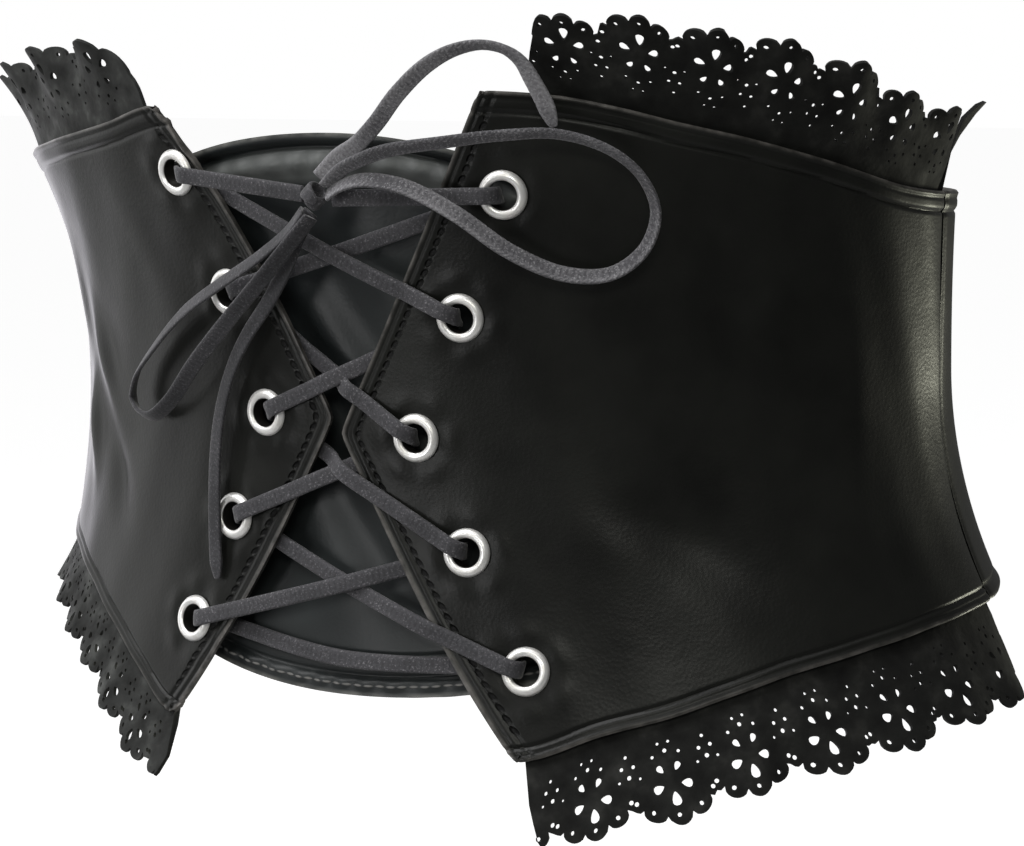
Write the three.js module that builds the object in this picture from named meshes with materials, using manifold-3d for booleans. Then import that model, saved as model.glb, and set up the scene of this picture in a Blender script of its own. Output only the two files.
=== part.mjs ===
// Corset belt: two smooth faux leather front panels laced together over a modesty panel, closed round
// the back by a plain panel, with pierced scalloped trim sewn inside the top and bottom edges.
// Millimetres and degrees. The belt stands as worn: +Z up, the front is -Y, the wearer's left is +X.
// The origin is in the middle of the waist, level with the meeting tips of the two front panels.
import * as THREE from "three";
import Module from "manifold-3d";
import { mergeVertices } from "three/addons/utils/BufferGeometryUtils.js";

// Waist and the way the belt widens above and below it, as shares of the half width of the waist
const WAIST_HALF_WIDTH = 120;
const WAIST_HALF_DEPTH = 78;
const WAIST_HEIGHT = 8;
const FLARE_REACH = 75;
const FLARE = {
  right: { waist: 0, above: 0.02, below: 0.22 },
  left: { waist: -0.025, above: 0.27, below: 0.12 },
  front: { waist: 0, above: 0.06, below: 0.1 },
};

// Front panels: heights at the lacing corners, then the top and bottom edges as shares of them
const FRONT_ABOVE = 80;
const FRONT_BELOW = 73;
const PANEL_WALL = 1.5;
const TIP_GAP = 3;
const CORNER_REACH = 41;
const CORNER_ROUND = 2.4;
const LEFT_RISE = 3.4;
const SIDE_SEAM_ANGLE = 91;
const EDGES = [
  { turn: 0, right: { above: 1.0, below: 1.02 }, left: { above: 0.975, below: 0.99 } },
  { turn: 20, right: { above: 1.0, below: 0.98 }, left: { above: 0.95, below: 0.975 } },
  { turn: 28, right: { above: 0.985, below: 0.895 }, left: { above: 0.895, below: 0.855 } },
  { turn: 35, right: { above: 0.95, below: 0.84 }, left: { above: 0.86, below: 0.755 } },
  { turn: 42, right: { above: 0.905, below: 0.78 }, left: { above: 0.83, below: 0.67 } },
  { turn: 50, right: { above: 0.86, below: 0.72 }, left: { above: 0.8, below: 0.6 } },
  { turn: 62, right: { above: 0.785, below: 0.665 }, left: { above: 0.76, below: 0.54 } },
  { turn: 76, right: { above: 0.7, below: 0.625 }, left: { above: 0.7, below: 0.51 } },
  { turn: 91, right: { above: 0.66, below: 0.61 }, left: { above: 0.66, below: 0.51 } },
  { turn: 120, right: { above: 0.63, below: 0.6 }, left: { above: 0.63, below: 0.55 } },
  { turn: 180, right: { above: 0.6, below: 0.6 }, left: { above: 0.6, below: 0.6 } },
];

// Turned and stitched hems, and the soft dents and creases of the panels as shares of the wall
const HEM_WIDTH = 4.5;
const HEM_RISE = 0.5;
const HEM_STEP = 0.8;
const CREASES = [
  { side: -1, reach: 96, height: 12, lean: 60, length: 34, width: 5, depth: 0.9 },
  { side: -1, reach: 108, height: -6, lean: 75, length: 26, width: 5, depth: 0.8 },
  { side: -1, reach: 84, height: -14, lean: 50, length: 30, width: 6, depth: -0.6 },
  { side: 1, reach: 92, height: -18, lean: -35, length: 40, width: 9, depth: -0.8 },
  { side: 1, reach: 112, height: 22, lean: 80, length: 44, width: 9, depth: 0.7 },
];

// Eyelets
const EYELET_ROWS = 5;
const EYELET_PITCH = { above: 28.3, below: 25.9 };
const EYELET_FIRST_REACH = 21;
const EYELET_SPREAD = { right: 12, left: 9.7 };
const EYELET_HOLE = 3.4;
const EYELET_RIM = 5.7;
const EYELET_BARREL_WALL = 0.6;
const EYELET_RIM_RISE = 0.8;
const EYELET_SEAT = 0.45;
const EYELET_LIP = 0.2;
const EYELET_ROLL = 0.55;
const EYELET_SIDES = 12;

// Flat cord
const CORD_WIDTH = 4;
const CORD_THICK = 1.1;

// Modesty panel behind the lacing
const MODESTY_WALL = 1.5;
const MODESTY_ABOVE = 70;
const MODESTY_BELOW = 62;
const MODESTY_REACH = 60;
const MODESTY_TOP_FALL = 13;
const MODESTY_BOTTOM_FALL = 10;
const MODESTY_BAND = 8;
const MODESTY_BAND_RISE = 0.7;
const MODESTY_BAND_REACH = 42;
const MODESTY_EASE = { from: 2, to: 14 };
const MODESTY_COLUMNS = 14;
const MODESTY_LEVELS = [-1, -0.6, -0.2, 0.2, 0.6, 1];

// Pierced scalloped trim
const TRIM_WALL = 1;
const TRIM_HEIGHT = 23;
const TRIM_TUCK = 5;
const TRIM_PITCH = 19;
const TRIM_SCALLOP = 0.2;
const TRIM_WAVE = 1;
const TRIMS = {
  right: {
    above: { start: 53, flare: 18, first: 0.72, middle: 1.02, last: 0.76 },
    below: { start: 43, flare: 6, first: 0.8, middle: 0.88, last: 0.9 },
  },
  left: {
    above: { start: 46, flare: -2, first: 0.78, middle: 0.92, last: 0.74 },
    below: { start: 39, flare: 14, first: 0.6, middle: 0.64, last: 0.66 },
  },
};
const PETALS = 5;
const PETAL_SIDES = 5;
const PETAL_LONG = 1.9;
const PETAL_SHORT = 1.15;
const PETAL_RING = 3.6;
const FLOWER_HEIGHT = 0.62;
const FLOWER_TALL = 17;

// Back panel
const BACK_COLUMNS = 22;
const BACK_ROWS = 4;

// Small gap that touching pieces keep
const GAP = 0.3;

const FACES = {
  panel: { color: 0x1b1b1a, roughness: 0.42, metalness: 0 },
  modesty: { color: 0x20242a, roughness: 0.45, metalness: 0 },
  trim: { color: 0x0d0d0d, roughness: 0.8, metalness: 0 },
  cord: { color: 0x38363a, roughness: 0.85, metalness: 0 },
  metal: { color: 0xd9d9d4, roughness: 0.25, metalness: 1 },
};

// Bow, tied at the knot in the middle above the first crossing of the lacing. Each row is a point of
// the cord's middle line and the lean of its flat face, 90 lying flat and 0 standing on its edge.
const KNOT = { x: 0.6, y: -85.3, z: 56, width: 3.4, depth: 2.8, height: 4.2 };
const LOOP_RIGHT = [
  { x: 3.9, y: -85.4, z: 58.5, lean: 40 },
  { x: 8.5, y: -86.4, z: 62.2, lean: 45 },
  { x: 13.5, y: -87.3, z: 64.4, lean: 50 },
  { x: 22, y: -88.3, z: 67, lean: 55 },
  { x: 36, y: -88.1, z: 69, lean: 50 },
  { x: 49, y: -85, z: 70.5, lean: 45 },
  { x: 61, y: -79.9, z: 70.6, lean: 40 },
  { x: 70.5, y: -74, z: 66.8, lean: 35 },
  { x: 76, y: -69.5, z: 60.7, lean: 30 },
  { x: 78, y: -66.8, z: 52.8, lean: 30 },
  { x: 75.6, y: -67.6, z: 44.8, lean: 35 },
  { x: 68.8, y: -70.4, z: 39.3, lean: 40 },
  { x: 59, y: -74.4, z: 39.2, lean: 45 },
  { x: 48, y: -79.5, z: 44.4, lean: 45 },
  { x: 36.7, y: -84, z: 53, lean: 45 },
  { x: 25.5, y: -86.6, z: 58.8, lean: 45 },
  { x: 14.9, y: -87, z: 60.2, lean: 40 },
  { x: 9, y: -86.6, z: 58.9, lean: 35 },
  { x: 4.6, y: -85.9, z: 56.6, lean: 35 },
];
const LOOP_LEFT = [
  { x: -2.4, y: -86.2, z: 52.8, lean: 35 },
  { x: -6.6, y: -86.4, z: 47.8, lean: 40 },
  { x: -14.7, y: -86.2, z: 41.8, lean: 45 },
  { x: -28, y: -83.8, z: 34.4, lean: 50 },
  { x: -41.5, y: -79.6, z: 26.8, lean: 50 },
  { x: -54.8, y: -74.1, z: 16.7, lean: 45 },
  { x: -63.2, y: -70.4, z: 8.6, lean: 40 },
  { x: -65, y: -69.6, z: 3, lean: 35 },
  { x: -61.9, y: -71.1, z: 0, lean: 35 },
  { x: -56.9, y: -73, z: -0.4, lean: 35 },
  { x: -49.2, y: -75.8, z: 4.2, lean: 40 },
  { x: -38.4, y: -80, z: 14.7, lean: 45 },
  { x: -25.5, y: -84.2, z: 26.1, lean: 50 },
  { x: -13, y: -86.8, z: 37.4, lean: 45 },
  { x: -5.4, y: -87.2, z: 45.2, lean: 40 },
  { x: -0.1, y: -86.2, z: 51.3, lean: 35 },
];
const TAIL_UP = [
  { x: 1.6, y: -84.5, z: 60.3, lean: 80 },
  { x: 6.4, y: -84, z: 65, lean: 80 },
  { x: 12, y: -85, z: 68, lean: 75 },
  { x: 19.4, y: -88.4, z: 73, lean: 70 },
  { x: 27, y: -90.9, z: 80, lean: 65 },
  { x: 34.2, y: -90.7, z: 86, lean: 60 },
  { x: 40.2, y: -89.2, z: 89.2, lean: 50 },
  { x: 46, y: -87, z: 90.3, lean: 40 },
  { x: 50.6, y: -85, z: 89.2, lean: 40 },
  { x: 53.4, y: -83.2, z: 86.8, lean: 55 },
  { x: 55.4, y: -81.4, z: 82.6, lean: 75 },
  { x: 57.2, y: -79.2, z: 77.4, lean: 85 },
  { x: 58.6, y: -77.4, z: 72, lean: 85 },
];
const TAIL_DOWN = [
  { x: -1.9, y: -83.5, z: 52.2, lean: 85 },
  { x: -6, y: -82.8, z: 46.2, lean: 85 },
  { x: -9.6, y: -82.3, z: 39.6, lean: 85 },
  { x: -15.1, y: -81.8, z: 31.2, lean: 80 },
  { x: -22.5, y: -81.4, z: 21.9, lean: 75 },
  { x: -28.3, y: -80, z: 13, lean: 75 },
  { x: -32.5, y: -79, z: 2.3, lean: 80 },
  { x: -34.6, y: -78.6, z: -8.8, lean: 85 },
  { x: -35.2, y: -78.8, z: -21, lean: 90 },
  { x: -35, y: -79.4, z: -30.6, lean: 90 },
  { x: -34.2, y: -80.2, z: -37.9, lean: 90 },
];

const wasm = await Module();
wasm.setup();

// Angle round the waist, in degrees, of a reach measured along the front from the middle
function turnOf(reach) {
  return THREE.MathUtils.radToDeg(reach / WAIST_HALF_WIDTH);
}

function reachOf(turn) {
  return THREE.MathUtils.degToRad(turn) * WAIST_HALF_WIDTH;
}

// Point of the belt's surface, turned from the middle front towards +X, at a height, standing out
function bodyPoint(turn, height, out) {
  const angle = THREE.MathUtils.degToRad(turn);
  const rise = (height - WAIST_HEIGHT) / FLARE_REACH;
  const level = rise >= 0 ? "above" : "below";
  const side = Math.sin(angle) >= 0 ? FLARE.right : FLARE.left;
  const spread = (way) => WAIST_HALF_WIDTH * (way.waist + way[level] * rise * rise) + out;
  const halfWidth = WAIST_HALF_WIDTH + spread(side);
  const halfDepth = WAIST_HALF_DEPTH + spread(FLARE.front);
  return new THREE.Vector3(halfWidth * Math.sin(angle), -halfDepth * Math.cos(angle), height);
}

function bodyNormal(turn, height) {
  const step = 0.5;
  const across = bodyPoint(turn + step, height, 0).sub(bodyPoint(turn - step, height, 0));
  const up = bodyPoint(turn, height + step, 0).sub(bodyPoint(turn, height - step, 0));
  return across.cross(up).normalize();
}

// Smooth curve through the rows of the edge table
function edgeHeight(side, level, turn) {
  const column = side > 0 ? "right" : "left";
  const share = (row) => EDGES[THREE.MathUtils.clamp(row, 0, EDGES.length - 1)][column][level];
  const place = (row) => EDGES[row].turn;
  const last = EDGES.length - 2;
  let row = EDGES.findIndex((entry, index) => index > 0 && entry.turn >= turn) - 1;
  if (row < 0) row = turn <= 0 ? 0 : last;
  const slope = (at) => {
    const before = Math.max(at - 1, 0);
    const after = Math.min(at + 1, EDGES.length - 1);
    return (share(after) - share(before)) / (place(after) - place(before));
  };
  const span = place(row + 1) - place(row);
  const t = (turn - place(row)) / span;
  const bend = t * t * (3 - 2 * t);
  const mixed =
    share(row) * (1 - bend) +
    share(row + 1) * bend +
    span * t * (1 - t) * (slope(row) * (1 - t) - slope(row + 1) * t);
  return level === "above" ? FRONT_ABOVE * mixed : -FRONT_BELOW * mixed;
}

function riseOf(side) {
  return side > 0 ? 0 : LEFT_RISE;
}

// Closed solid between an outer and an inner sheet of the same grid, faces turned outwards
function shell(columns, rows, outer, inner) {
  const positions = [];
  const faces = [];
  const width = columns + 1;
  const count = width * (rows + 1);
  for (const sheet of [outer, inner])
    for (let row = 0; row <= rows; row++)
      for (let column = 0; column <= columns; column++) positions.push(...sheet(column, row).toArray());
  const quad = (a, b, c, d) => faces.push(a, b, c, a, c, d);
  const at = (column, row) => row * width + column;
  for (let row = 0; row < rows; row++)
    for (let column = 0; column < columns; column++) {
      const ring = [at(column, row), at(column + 1, row), at(column + 1, row + 1), at(column, row + 1)];
      quad(...ring);
      quad(...ring.reverse().map((index) => index + count));
    }
  const rim = [];
  for (let column = 0; column < columns; column++) rim.push(at(column, 0));
  for (let row = 0; row < rows; row++) rim.push(at(columns, row));
  for (let column = columns; column > 0; column--) rim.push(at(column, rows));
  for (let row = rows; row > 0; row--) rim.push(at(0, row));
  rim.forEach((index, place) => {
    const next = rim[(place + 1) % rim.length];
    quad(next, index, index + count, next + count);
  });
  return facedOut(positions, faces);
}

function facedOut(positions, faces) {
  const corner = (index) => new THREE.Vector3().fromArray(positions, index * 3);
  let volume = 0;
  for (let face = 0; face < faces.length; face += 3) {
    const [a, b, c] = [corner(faces[face]), corner(faces[face + 1]), corner(faces[face + 2])];
    volume += a.dot(b.cross(c));
  }
  if (volume < 0) faces.reverse();
  const geometry = new THREE.BufferGeometry();
  geometry.setAttribute("position", new THREE.Float32BufferAttribute(positions, 3));
  geometry.setIndex(faces);
  return geometry;
}

// Solid for cutting, and its mesh again
function toSolid(geometry) {
  const bare = geometry.clone();
  bare.deleteAttribute("normal");
  bare.deleteAttribute("uv");
  const merged = mergeVertices(bare, 1e-4);
  const vertProperties = new Float32Array(merged.attributes.position.array);
  const triVerts = new Uint32Array(merged.index.array);
  return new wasm.Manifold(new wasm.Mesh({ numProp: 3, vertProperties, triVerts }));
}

function toGeometry(solid) {
  const mesh = solid.getMesh();
  const geometry = new THREE.BufferGeometry();
  geometry.setAttribute("position", new THREE.BufferAttribute(new Float32Array(mesh.vertProperties), 3));
  geometry.setIndex(new THREE.BufferAttribute(new Uint32Array(mesh.triVerts), 1));
  return geometry;
}

function cutAll(geometry, cutters) {
  const solid = cutters.reduce((rest, cutter) => rest.subtract(toSolid(cutter)), toSolid(geometry));
  return toGeometry(solid);
}

// Matrix that lays the XY plane on a surface at a point, with Z along the outward normal
function layOn(point, across, normal) {
  const up = normal.clone().cross(across).normalize();
  const sideways = up.clone().cross(normal).normalize();
  return new THREE.Matrix4().makeBasis(sideways, up, normal).setPosition(point);
}

// Lacing edge of a panel: reach from the middle at a height, straight from the tip to each corner
function lacingEdge(side, height) {
  const rise = height - riseOf(side);
  const corner = edgeHeight(side, rise >= 0 ? "above" : "below", turnOf(CORNER_REACH)) - riseOf(side);
  return TIP_GAP / 2 + ((CORNER_REACH - TIP_GAP / 2) * rise) / corner;
}

function creaseAt(side, reach, height) {
  let out = 0;
  for (const crease of CREASES) {
    if (crease.side !== side) continue;
    const lean = THREE.MathUtils.degToRad(crease.lean);
    const x = reach - crease.reach;
    const z = height - crease.height;
    const along = x * Math.cos(lean) + z * Math.sin(lean);
    const over = z * Math.cos(lean) - x * Math.sin(lean);
    const fade = Math.exp(-2 * ((2 * along) / crease.length) ** 2);
    out += crease.depth * PANEL_WALL * fade * Math.exp(-((over / crease.width) ** 2));
  }
  return out;
}

// Panel rows run from the bottom edge to the top edge, with a row at each side of the hem's step
const PANEL_ROWS = [
  { share: -1, inset: 0 },
  { share: -1, inset: HEM_WIDTH },
  { share: -1, inset: HEM_WIDTH + HEM_STEP },
  { share: -0.75 },
  { share: -0.5 },
  { share: -0.25 },
  { share: 0 },
  { share: 0.25 },
  { share: 0.5 },
  { share: 0.75 },
  { share: 1, inset: HEM_WIDTH + HEM_STEP },
  { share: 1, inset: HEM_WIDTH },
  { share: 1, inset: 0 },
];
const PANEL_COLUMNS = 16;

// Place of a grid point in a front panel, as a reach and a height, and whether it is on a hem
function panelPlace(side, column, row) {
  const { share, inset = 0 } = PANEL_ROWS[row];
  const level = share < 0 ? "below" : "above";
  const corner = share < 0 ? FRONT_BELOW : FRONT_ABOVE;
  const fromTip = Math.abs(share) * (1 - inset / corner);
  const start = TIP_GAP / 2 + (CORNER_REACH - TIP_GAP / 2) * fromTip;
  const reach = THREE.MathUtils.lerp(start, reachOf(SIDE_SEAM_ANGLE), column / PANEL_COLUMNS);
  const edge = edgeHeight(side, level, turnOf(reach));
  const rise = riseOf(side);
  let height = rise + Math.abs(share) * (edge - Math.sign(share) * inset - rise);
  let place = reach;
  if (Math.abs(share) === 1 && !inset && column === 0) {
    place += CORNER_ROUND / 2;
    height -= Math.sign(share) * CORNER_ROUND;
  }
  const hem = Math.abs(share) === 1 && inset <= HEM_WIDTH;
  return { reach: place, height, hem };
}

function frontPanel(side) {
  const sheet = (wall) => (column, row) => {
    const { reach, height, hem } = panelPlace(side, column, row);
    const crease = creaseAt(side, reach, height);
    const raised = hem && !wall ? HEM_RISE : 0;
    return bodyPoint(side * turnOf(reach), height, crease + raised - wall);
  };
  const grid = shell(PANEL_COLUMNS, PANEL_ROWS.length - 1, sheet(0), sheet(PANEL_WALL));
  return cutAll(grid, eyeletPlaces(side).map(eyeletCutter));
}

function eyeletPlaces(side) {
  const places = [];
  const middle = (EYELET_ROWS - 1) / 2;
  const spread = side > 0 ? EYELET_SPREAD.right : EYELET_SPREAD.left;
  for (let row = 0; row < EYELET_ROWS; row++) {
    const pitch = row < middle ? EYELET_PITCH.above : EYELET_PITCH.below;
    const reach = EYELET_FIRST_REACH + spread * Math.abs(row - middle);
    const height = riseOf(side) + pitch * (middle - row);
    places.push({ side, row, reach, height });
  }
  return places;
}

function eyeletMatrix({ side, reach, height }) {
  const turn = side * turnOf(reach);
  return layOn(bodyPoint(turn, height, 0), new THREE.Vector3(1, 0, 0), bodyNormal(turn, height));
}

function eyeletCutter(place) {
  const radius = EYELET_HOLE + EYELET_BARREL_WALL + GAP;
  const cutter = new THREE.CylinderGeometry(radius, radius, PANEL_WALL * 6, EYELET_SIDES);
  return cutter.rotateX(Math.PI / 2).applyMatrix4(eyeletMatrix(place));
}

// Eyelet: domed rim outside, barrel through the panel and a rolled edge behind it
function eyelet(place) {
  const barrel = EYELET_HOLE + EYELET_BARREL_WALL;
  const behind = -PANEL_WALL - EYELET_SEAT;
  const rolled = behind - EYELET_BARREL_WALL;
  const top = EYELET_SEAT + EYELET_RIM_RISE;
  const profile = [
    [EYELET_HOLE, rolled],
    [EYELET_HOLE, top - EYELET_LIP],
    [EYELET_HOLE + EYELET_ROLL, top],
    [EYELET_RIM - EYELET_ROLL, top],
    [EYELET_RIM, EYELET_SEAT],
    [barrel, EYELET_SEAT],
    [barrel, behind],
    [barrel + EYELET_BARREL_WALL, behind],
  ].map(([radius, height]) => new THREE.Vector2(radius, height));
  profile.push(profile[0].clone());
  profile.reverse();
  const ring = new THREE.LatheGeometry(profile, EYELET_SIDES);
  return ring.rotateX(Math.PI / 2).applyMatrix4(eyeletMatrix(place));
}

// Back panel, from side seam to side seam
function backPanel() {
  const start = SIDE_SEAM_ANGLE + THREE.MathUtils.radToDeg(GAP / WAIST_HALF_DEPTH);
  const sheet = (wall) => (column, row) => {
    const turn = THREE.MathUtils.lerp(start, 360 - start, column / BACK_COLUMNS);
    const side = turn <= 180 ? 1 : -1;
    const fromFront = turn <= 180 ? turn : 360 - turn;
    const top = edgeHeight(side, "above", fromFront);
    const bottom = edgeHeight(side, "below", fromFront);
    return bodyPoint(turn, THREE.MathUtils.lerp(bottom, top, row / BACK_ROWS), -wall);
  };
  return shell(BACK_COLUMNS, BACK_ROWS, sheet(0), sheet(PANEL_WALL));
}

// Room behind the front panels for the flat cord and the rolled edges of the eyelets
function modestyDepth(reach) {
  const seat = PANEL_WALL + 1.4 * GAP;
  const room = EYELET_SEAT + EYELET_BARREL_WALL + CORD_THICK + 4 * GAP;
  const { from, to } = MODESTY_EASE;
  const ease = THREE.MathUtils.smoothstep(MODESTY_REACH - Math.abs(reach), from, to);
  return seat + room * ease;
}

function modestyPanel() {
  const band = MODESTY_BAND;
  const heights = (reach) => {
    const away = (reach / MODESTY_REACH) ** 2;
    const top = MODESTY_ABOVE - MODESTY_TOP_FALL * away;
    const bottom = -MODESTY_BELOW + MODESTY_BOTTOM_FALL * away;
    const inner = MODESTY_LEVELS.map((level) =>
      THREE.MathUtils.mapLinear(level, -1, 1, bottom + band, top - band));
    return [bottom, bottom + band / 2, ...inner, top - band / 2, top];
  };
  const swell = [0, MODESTY_BAND_RISE, 0, 0, 0, 0, 0, 0, MODESTY_BAND_RISE, 0];
  const sheet = (wall) => (column, row) => {
    const reach = THREE.MathUtils.lerp(-MODESTY_REACH, MODESTY_REACH, column / MODESTY_COLUMNS);
    const inside = Math.abs(reach) < MODESTY_BAND_REACH ? 1 : 0;
    const out = -modestyDepth(reach) - wall + (wall ? 0 : (swell[row] - MODESTY_BAND_RISE) * inside);
    return bodyPoint(turnOf(reach), heights(reach)[row], out);
  };
  return shell(MODESTY_COLUMNS, swell.length - 1, sheet(0), sheet(MODESTY_WALL + MODESTY_BAND_RISE));
}

// Table of turns against the distance run along a panel's edge
function edgeRun(side, level, start) {
  const samples = 120;
  const turns = [];
  const runs = [];
  let last;
  let run = 0;
  for (let index = 0; index <= samples; index++) {
    const turn = THREE.MathUtils.lerp(start, SIDE_SEAM_ANGLE, index / samples);
    const point = bodyPoint(side * turn, edgeHeight(side, level, turn), 0);
    run += last ? point.distanceTo(last) : 0;
    turns.push(turn);
    runs.push(run);
    last = point;
  }
  const turnAt = (distance) => {
    const next = Math.max(1, runs.findIndex((value) => value >= distance));
    const share = (distance - runs[next - 1]) / (runs[next] - runs[next - 1]);
    return THREE.MathUtils.lerp(turns[next - 1], turns[next], share);
  };
  return { length: run, turnAt };
}

// Trim: tucked behind the panel's edge, then flaring out above or below it in pierced scallops. One
// scallop is a plain band in the tuck and a pierced leaf above it, and the next one shares its side.
function trim(side, level) {
  const column = side > 0 ? "right" : "left";
  const upward = level === "above" ? 1 : -1;
  const cut = TRIMS[column][level];
  const edge = edgeRun(side, level, turnOf(cut.start));
  const scallops = Math.round(edge.length / TRIM_PITCH);
  const pitch = edge.length / scallops;
  const flare = THREE.MathUtils.degToRad(cut.flare);
  const tall = (run) => {
    const share = run / edge.length;
    const ends = THREE.MathUtils.lerp(cut.first, cut.last, share);
    return TRIM_HEIGHT * (ends + (cut.middle - (cut.first + cut.last) / 2) * Math.sin(Math.PI * share));
  };
  const place = (run, climb, depth) => {
    const turn = edge.turnAt(THREE.MathUtils.clamp(run, 0, edge.length));
    const free = Math.max(climb, 0);
    const wave = TRIM_WAVE * (free / TRIM_HEIGHT) ** 2 * Math.cos((2 * Math.PI * run) / pitch);
    const out = -PANEL_WALL - GAP + free * Math.sin(flare) + wave - depth * Math.cos(flare);
    const lift = climb < 0 ? climb : free * Math.cos(flare) + depth * Math.sin(flare);
    return bodyPoint(side * turn, edgeHeight(side, level, turn) + upward * lift, out);
  };
  const positions = [];
  const faces = [];
  const corner = (run, climb, depth) => positions.push(...place(run, climb, depth).toArray()) / 3 - 1;
  const wall = ([runA, climbA], [runB, climbB]) => {
    const a = corner(runA, climbA, 0);
    const b = corner(runB, climbB, 0);
    const c = corner(runB, climbB, TRIM_WALL);
    const d = corner(runA, climbA, TRIM_WALL);
    faces.push(b, a, d, b, d, c);
  };
  const skin = (outline, holes) => {
    const flat = (ring) => ring.map(([run, climb]) => new THREE.Vector2(run, climb));
    const spots = [...outline, ...holes.flat()];
    for (const [a, b, c] of THREE.ShapeUtils.triangulateShape(flat(outline), holes.map(flat))) {
      faces.push(...[a, b, c].map((spot) => corner(...spots[spot], 0)));
      faces.push(...[c, b, a].map((spot) => corner(...spots[spot], TRIM_WALL)));
    }
    for (const hole of holes) hole.forEach((spot, place) => wall(spot, hole[(place + 1) % hole.length]));
  };
  for (let scallop = 0; scallop < scallops; scallop++) {
    const start = scallop * pitch;
    const runs = [start, start + pitch / 2, start + pitch];
    const scalloped = [1, 0.75, 0.5, 0.25, 0].map((share) => {
      const arch = Math.sin(Math.PI * share) ** 0.7;
      const run = start + share * pitch;
      return [run, tall(run) * (1 - TRIM_SCALLOP * (1 - arch))];
    });
    const middle = start + pitch / 2;
    skin([...runs.map((run) => [run, 0]), ...scalloped], flower(middle, tall(middle)));
    skin([...runs.map((run) => [run, -TRIM_TUCK]), ...runs.map((run) => [run, 0]).reverse()], []);
    for (let index = 0; index < 2; index++) wall([runs[index], -TRIM_TUCK], [runs[index + 1], -TRIM_TUCK]);
    for (let index = 0; index < 4; index++) wall(scalloped[index], scalloped[index + 1]);
  }
  const valley = 1 - TRIM_SCALLOP;
  wall([0, 0], [0, -TRIM_TUCK]);
  wall([0, tall(0) * valley], [0, 0]);
  wall([edge.length, -TRIM_TUCK], [edge.length, 0]);
  wall([edge.length, 0], [edge.length, tall(edge.length) * valley]);
  return facedOut(positions, faces);
}

// Outlines of a flower of oval petal holes, each pointing at the middle, wound against the skin. The
// flower gets smaller where the trim is too low for it.
function flower(middle, tall) {
  const scale = Math.min(1, tall / FLOWER_TALL);
  const height = tall * FLOWER_HEIGHT;
  const holes = [];
  for (let petal = 0; petal < PETALS; petal++) {
    const angle = (petal / PETALS) * 2 * Math.PI + Math.PI / 2;
    const ring = [];
    for (let corner = 0; corner < PETAL_SIDES; corner++) {
      const around = (-corner / PETAL_SIDES) * 2 * Math.PI;
      const along = scale * (PETAL_RING + PETAL_LONG * Math.cos(around));
      const across = scale * PETAL_SHORT * Math.sin(around);
      ring.push([
        middle + along * Math.cos(angle) - across * Math.sin(angle),
        height + along * Math.sin(angle) + across * Math.cos(angle),
      ]);
    }
    holes.push(ring);
  }
  return holes;
}

// Flat cord along a smooth curve through points; faces holds the way that its flat face looks
function flatCord(points, faces) {
  const curve = new THREE.CatmullRomCurve3(points, false, "centripetal");
  const steps = points.length - 1;
  const half = CORD_WIDTH / 2;
  const thin = CORD_THICK / 2;
  const section = [
    [half, 0],
    [half - thin, thin],
    [thin - half, thin],
    [-half, 0],
    [thin - half, -thin],
    [half - thin, -thin],
  ];
  const positions = [];
  points.forEach((point, step) => {
    const tangent = curve.getTangent(step / steps);
    const across = tangent.clone().cross(faces[step]).normalize();
    const normal = across.clone().cross(tangent).normalize();
    for (const [wide, deep] of section) {
      const corner = point.clone().addScaledVector(across, wide).addScaledVector(normal, deep);
      positions.push(...corner.toArray());
    }
  });
  const sides = section.length;
  const triangles = [];
  for (let step = 0; step < steps; step++)
    for (let corner = 0; corner < sides; corner++) {
      const a = step * sides + corner;
      const b = step * sides + ((corner + 1) % sides);
      triangles.push(a, b, b + sides, a, b + sides, a + sides);
    }
  for (let corner = 1; corner < sides - 1; corner++) {
    const end = steps * sides;
    triangles.push(0, corner + 1, corner, end, end + corner, end + corner + 1);
  }
  return facedOut(positions, triangles);
}

// Point over the belt given by a reach, a height and how far it stands out, and the normal there
function over(reach, height, out) {
  return bodyPoint(turnOf(reach), height, out);
}

function lookOut(reach, height, sign) {
  return bodyNormal(turnOf(reach), height).multiplyScalar(sign);
}

// Heights of the cord's middle line over the panels' outer face
const OVER = GAP + CORD_THICK / 2;
const RIM = EYELET_SEAT + EYELET_RIM_RISE + 1.6 * GAP + CORD_THICK / 2;
const UNDER = -PANEL_WALL - OVER;
const BEHIND = -PANEL_WALL - EYELET_SEAT - EYELET_BARREL_WALL - 1.3 * GAP - CORD_THICK / 2;

// Way of a strand between two eyelets: distances along it from where it leaves from under one panel,
// meets the other strand and comes over the other panel
const STRANDS = {
  upper: [
    { from: "leave", along: -2, out: UNDER },
    { from: "leave", along: 2.6, out: UNDER + 0.2 },
    { from: "meet", along: 0, out: 0.6 },
    { from: "enter", along: -2.6, out: OVER + 0.2 },
    { from: "enter", along: 2, out: OVER },
  ],
  lower: [
    { from: "leave", along: -2, out: UNDER },
    { from: "leave", along: 2.6, out: UNDER + 0.2 },
    { from: "meet", along: 0, out: UNDER + 0.8 },
    { from: "enter", along: -2.8, out: OVER + 0.1 },
    { from: "enter", along: 2, out: OVER },
  ],
};

// Way of the cord over an eyelet's rim and into its hole, with distances from the hole's middle
const INTO_EYELET = [
  { away: EYELET_RIM + 1.5, out: RIM - 0.2 },
  { away: EYELET_HOLE + 0.6, out: RIM + 0.2 },
  { away: EYELET_HOLE - 1.6, out: RIM - 0.8 },
];
const OUT_OF_EYELET = [
  { away: EYELET_HOLE - 1.8, out: BEHIND + 0.3 },
  { away: EYELET_HOLE + 0.6, out: BEHIND - 0.2 },
];
const PRESSED = 0.9;
const JOIN_SAG = 3;
const KNOT_START = 2.1;
const KNOT_SPLIT = 0.4;

function toward(from, to) {
  return to.clone().sub(from).normalize();
}

function shifted(spot, way, distance) {
  return spot.clone().addScaledVector(way, distance);
}

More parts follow.
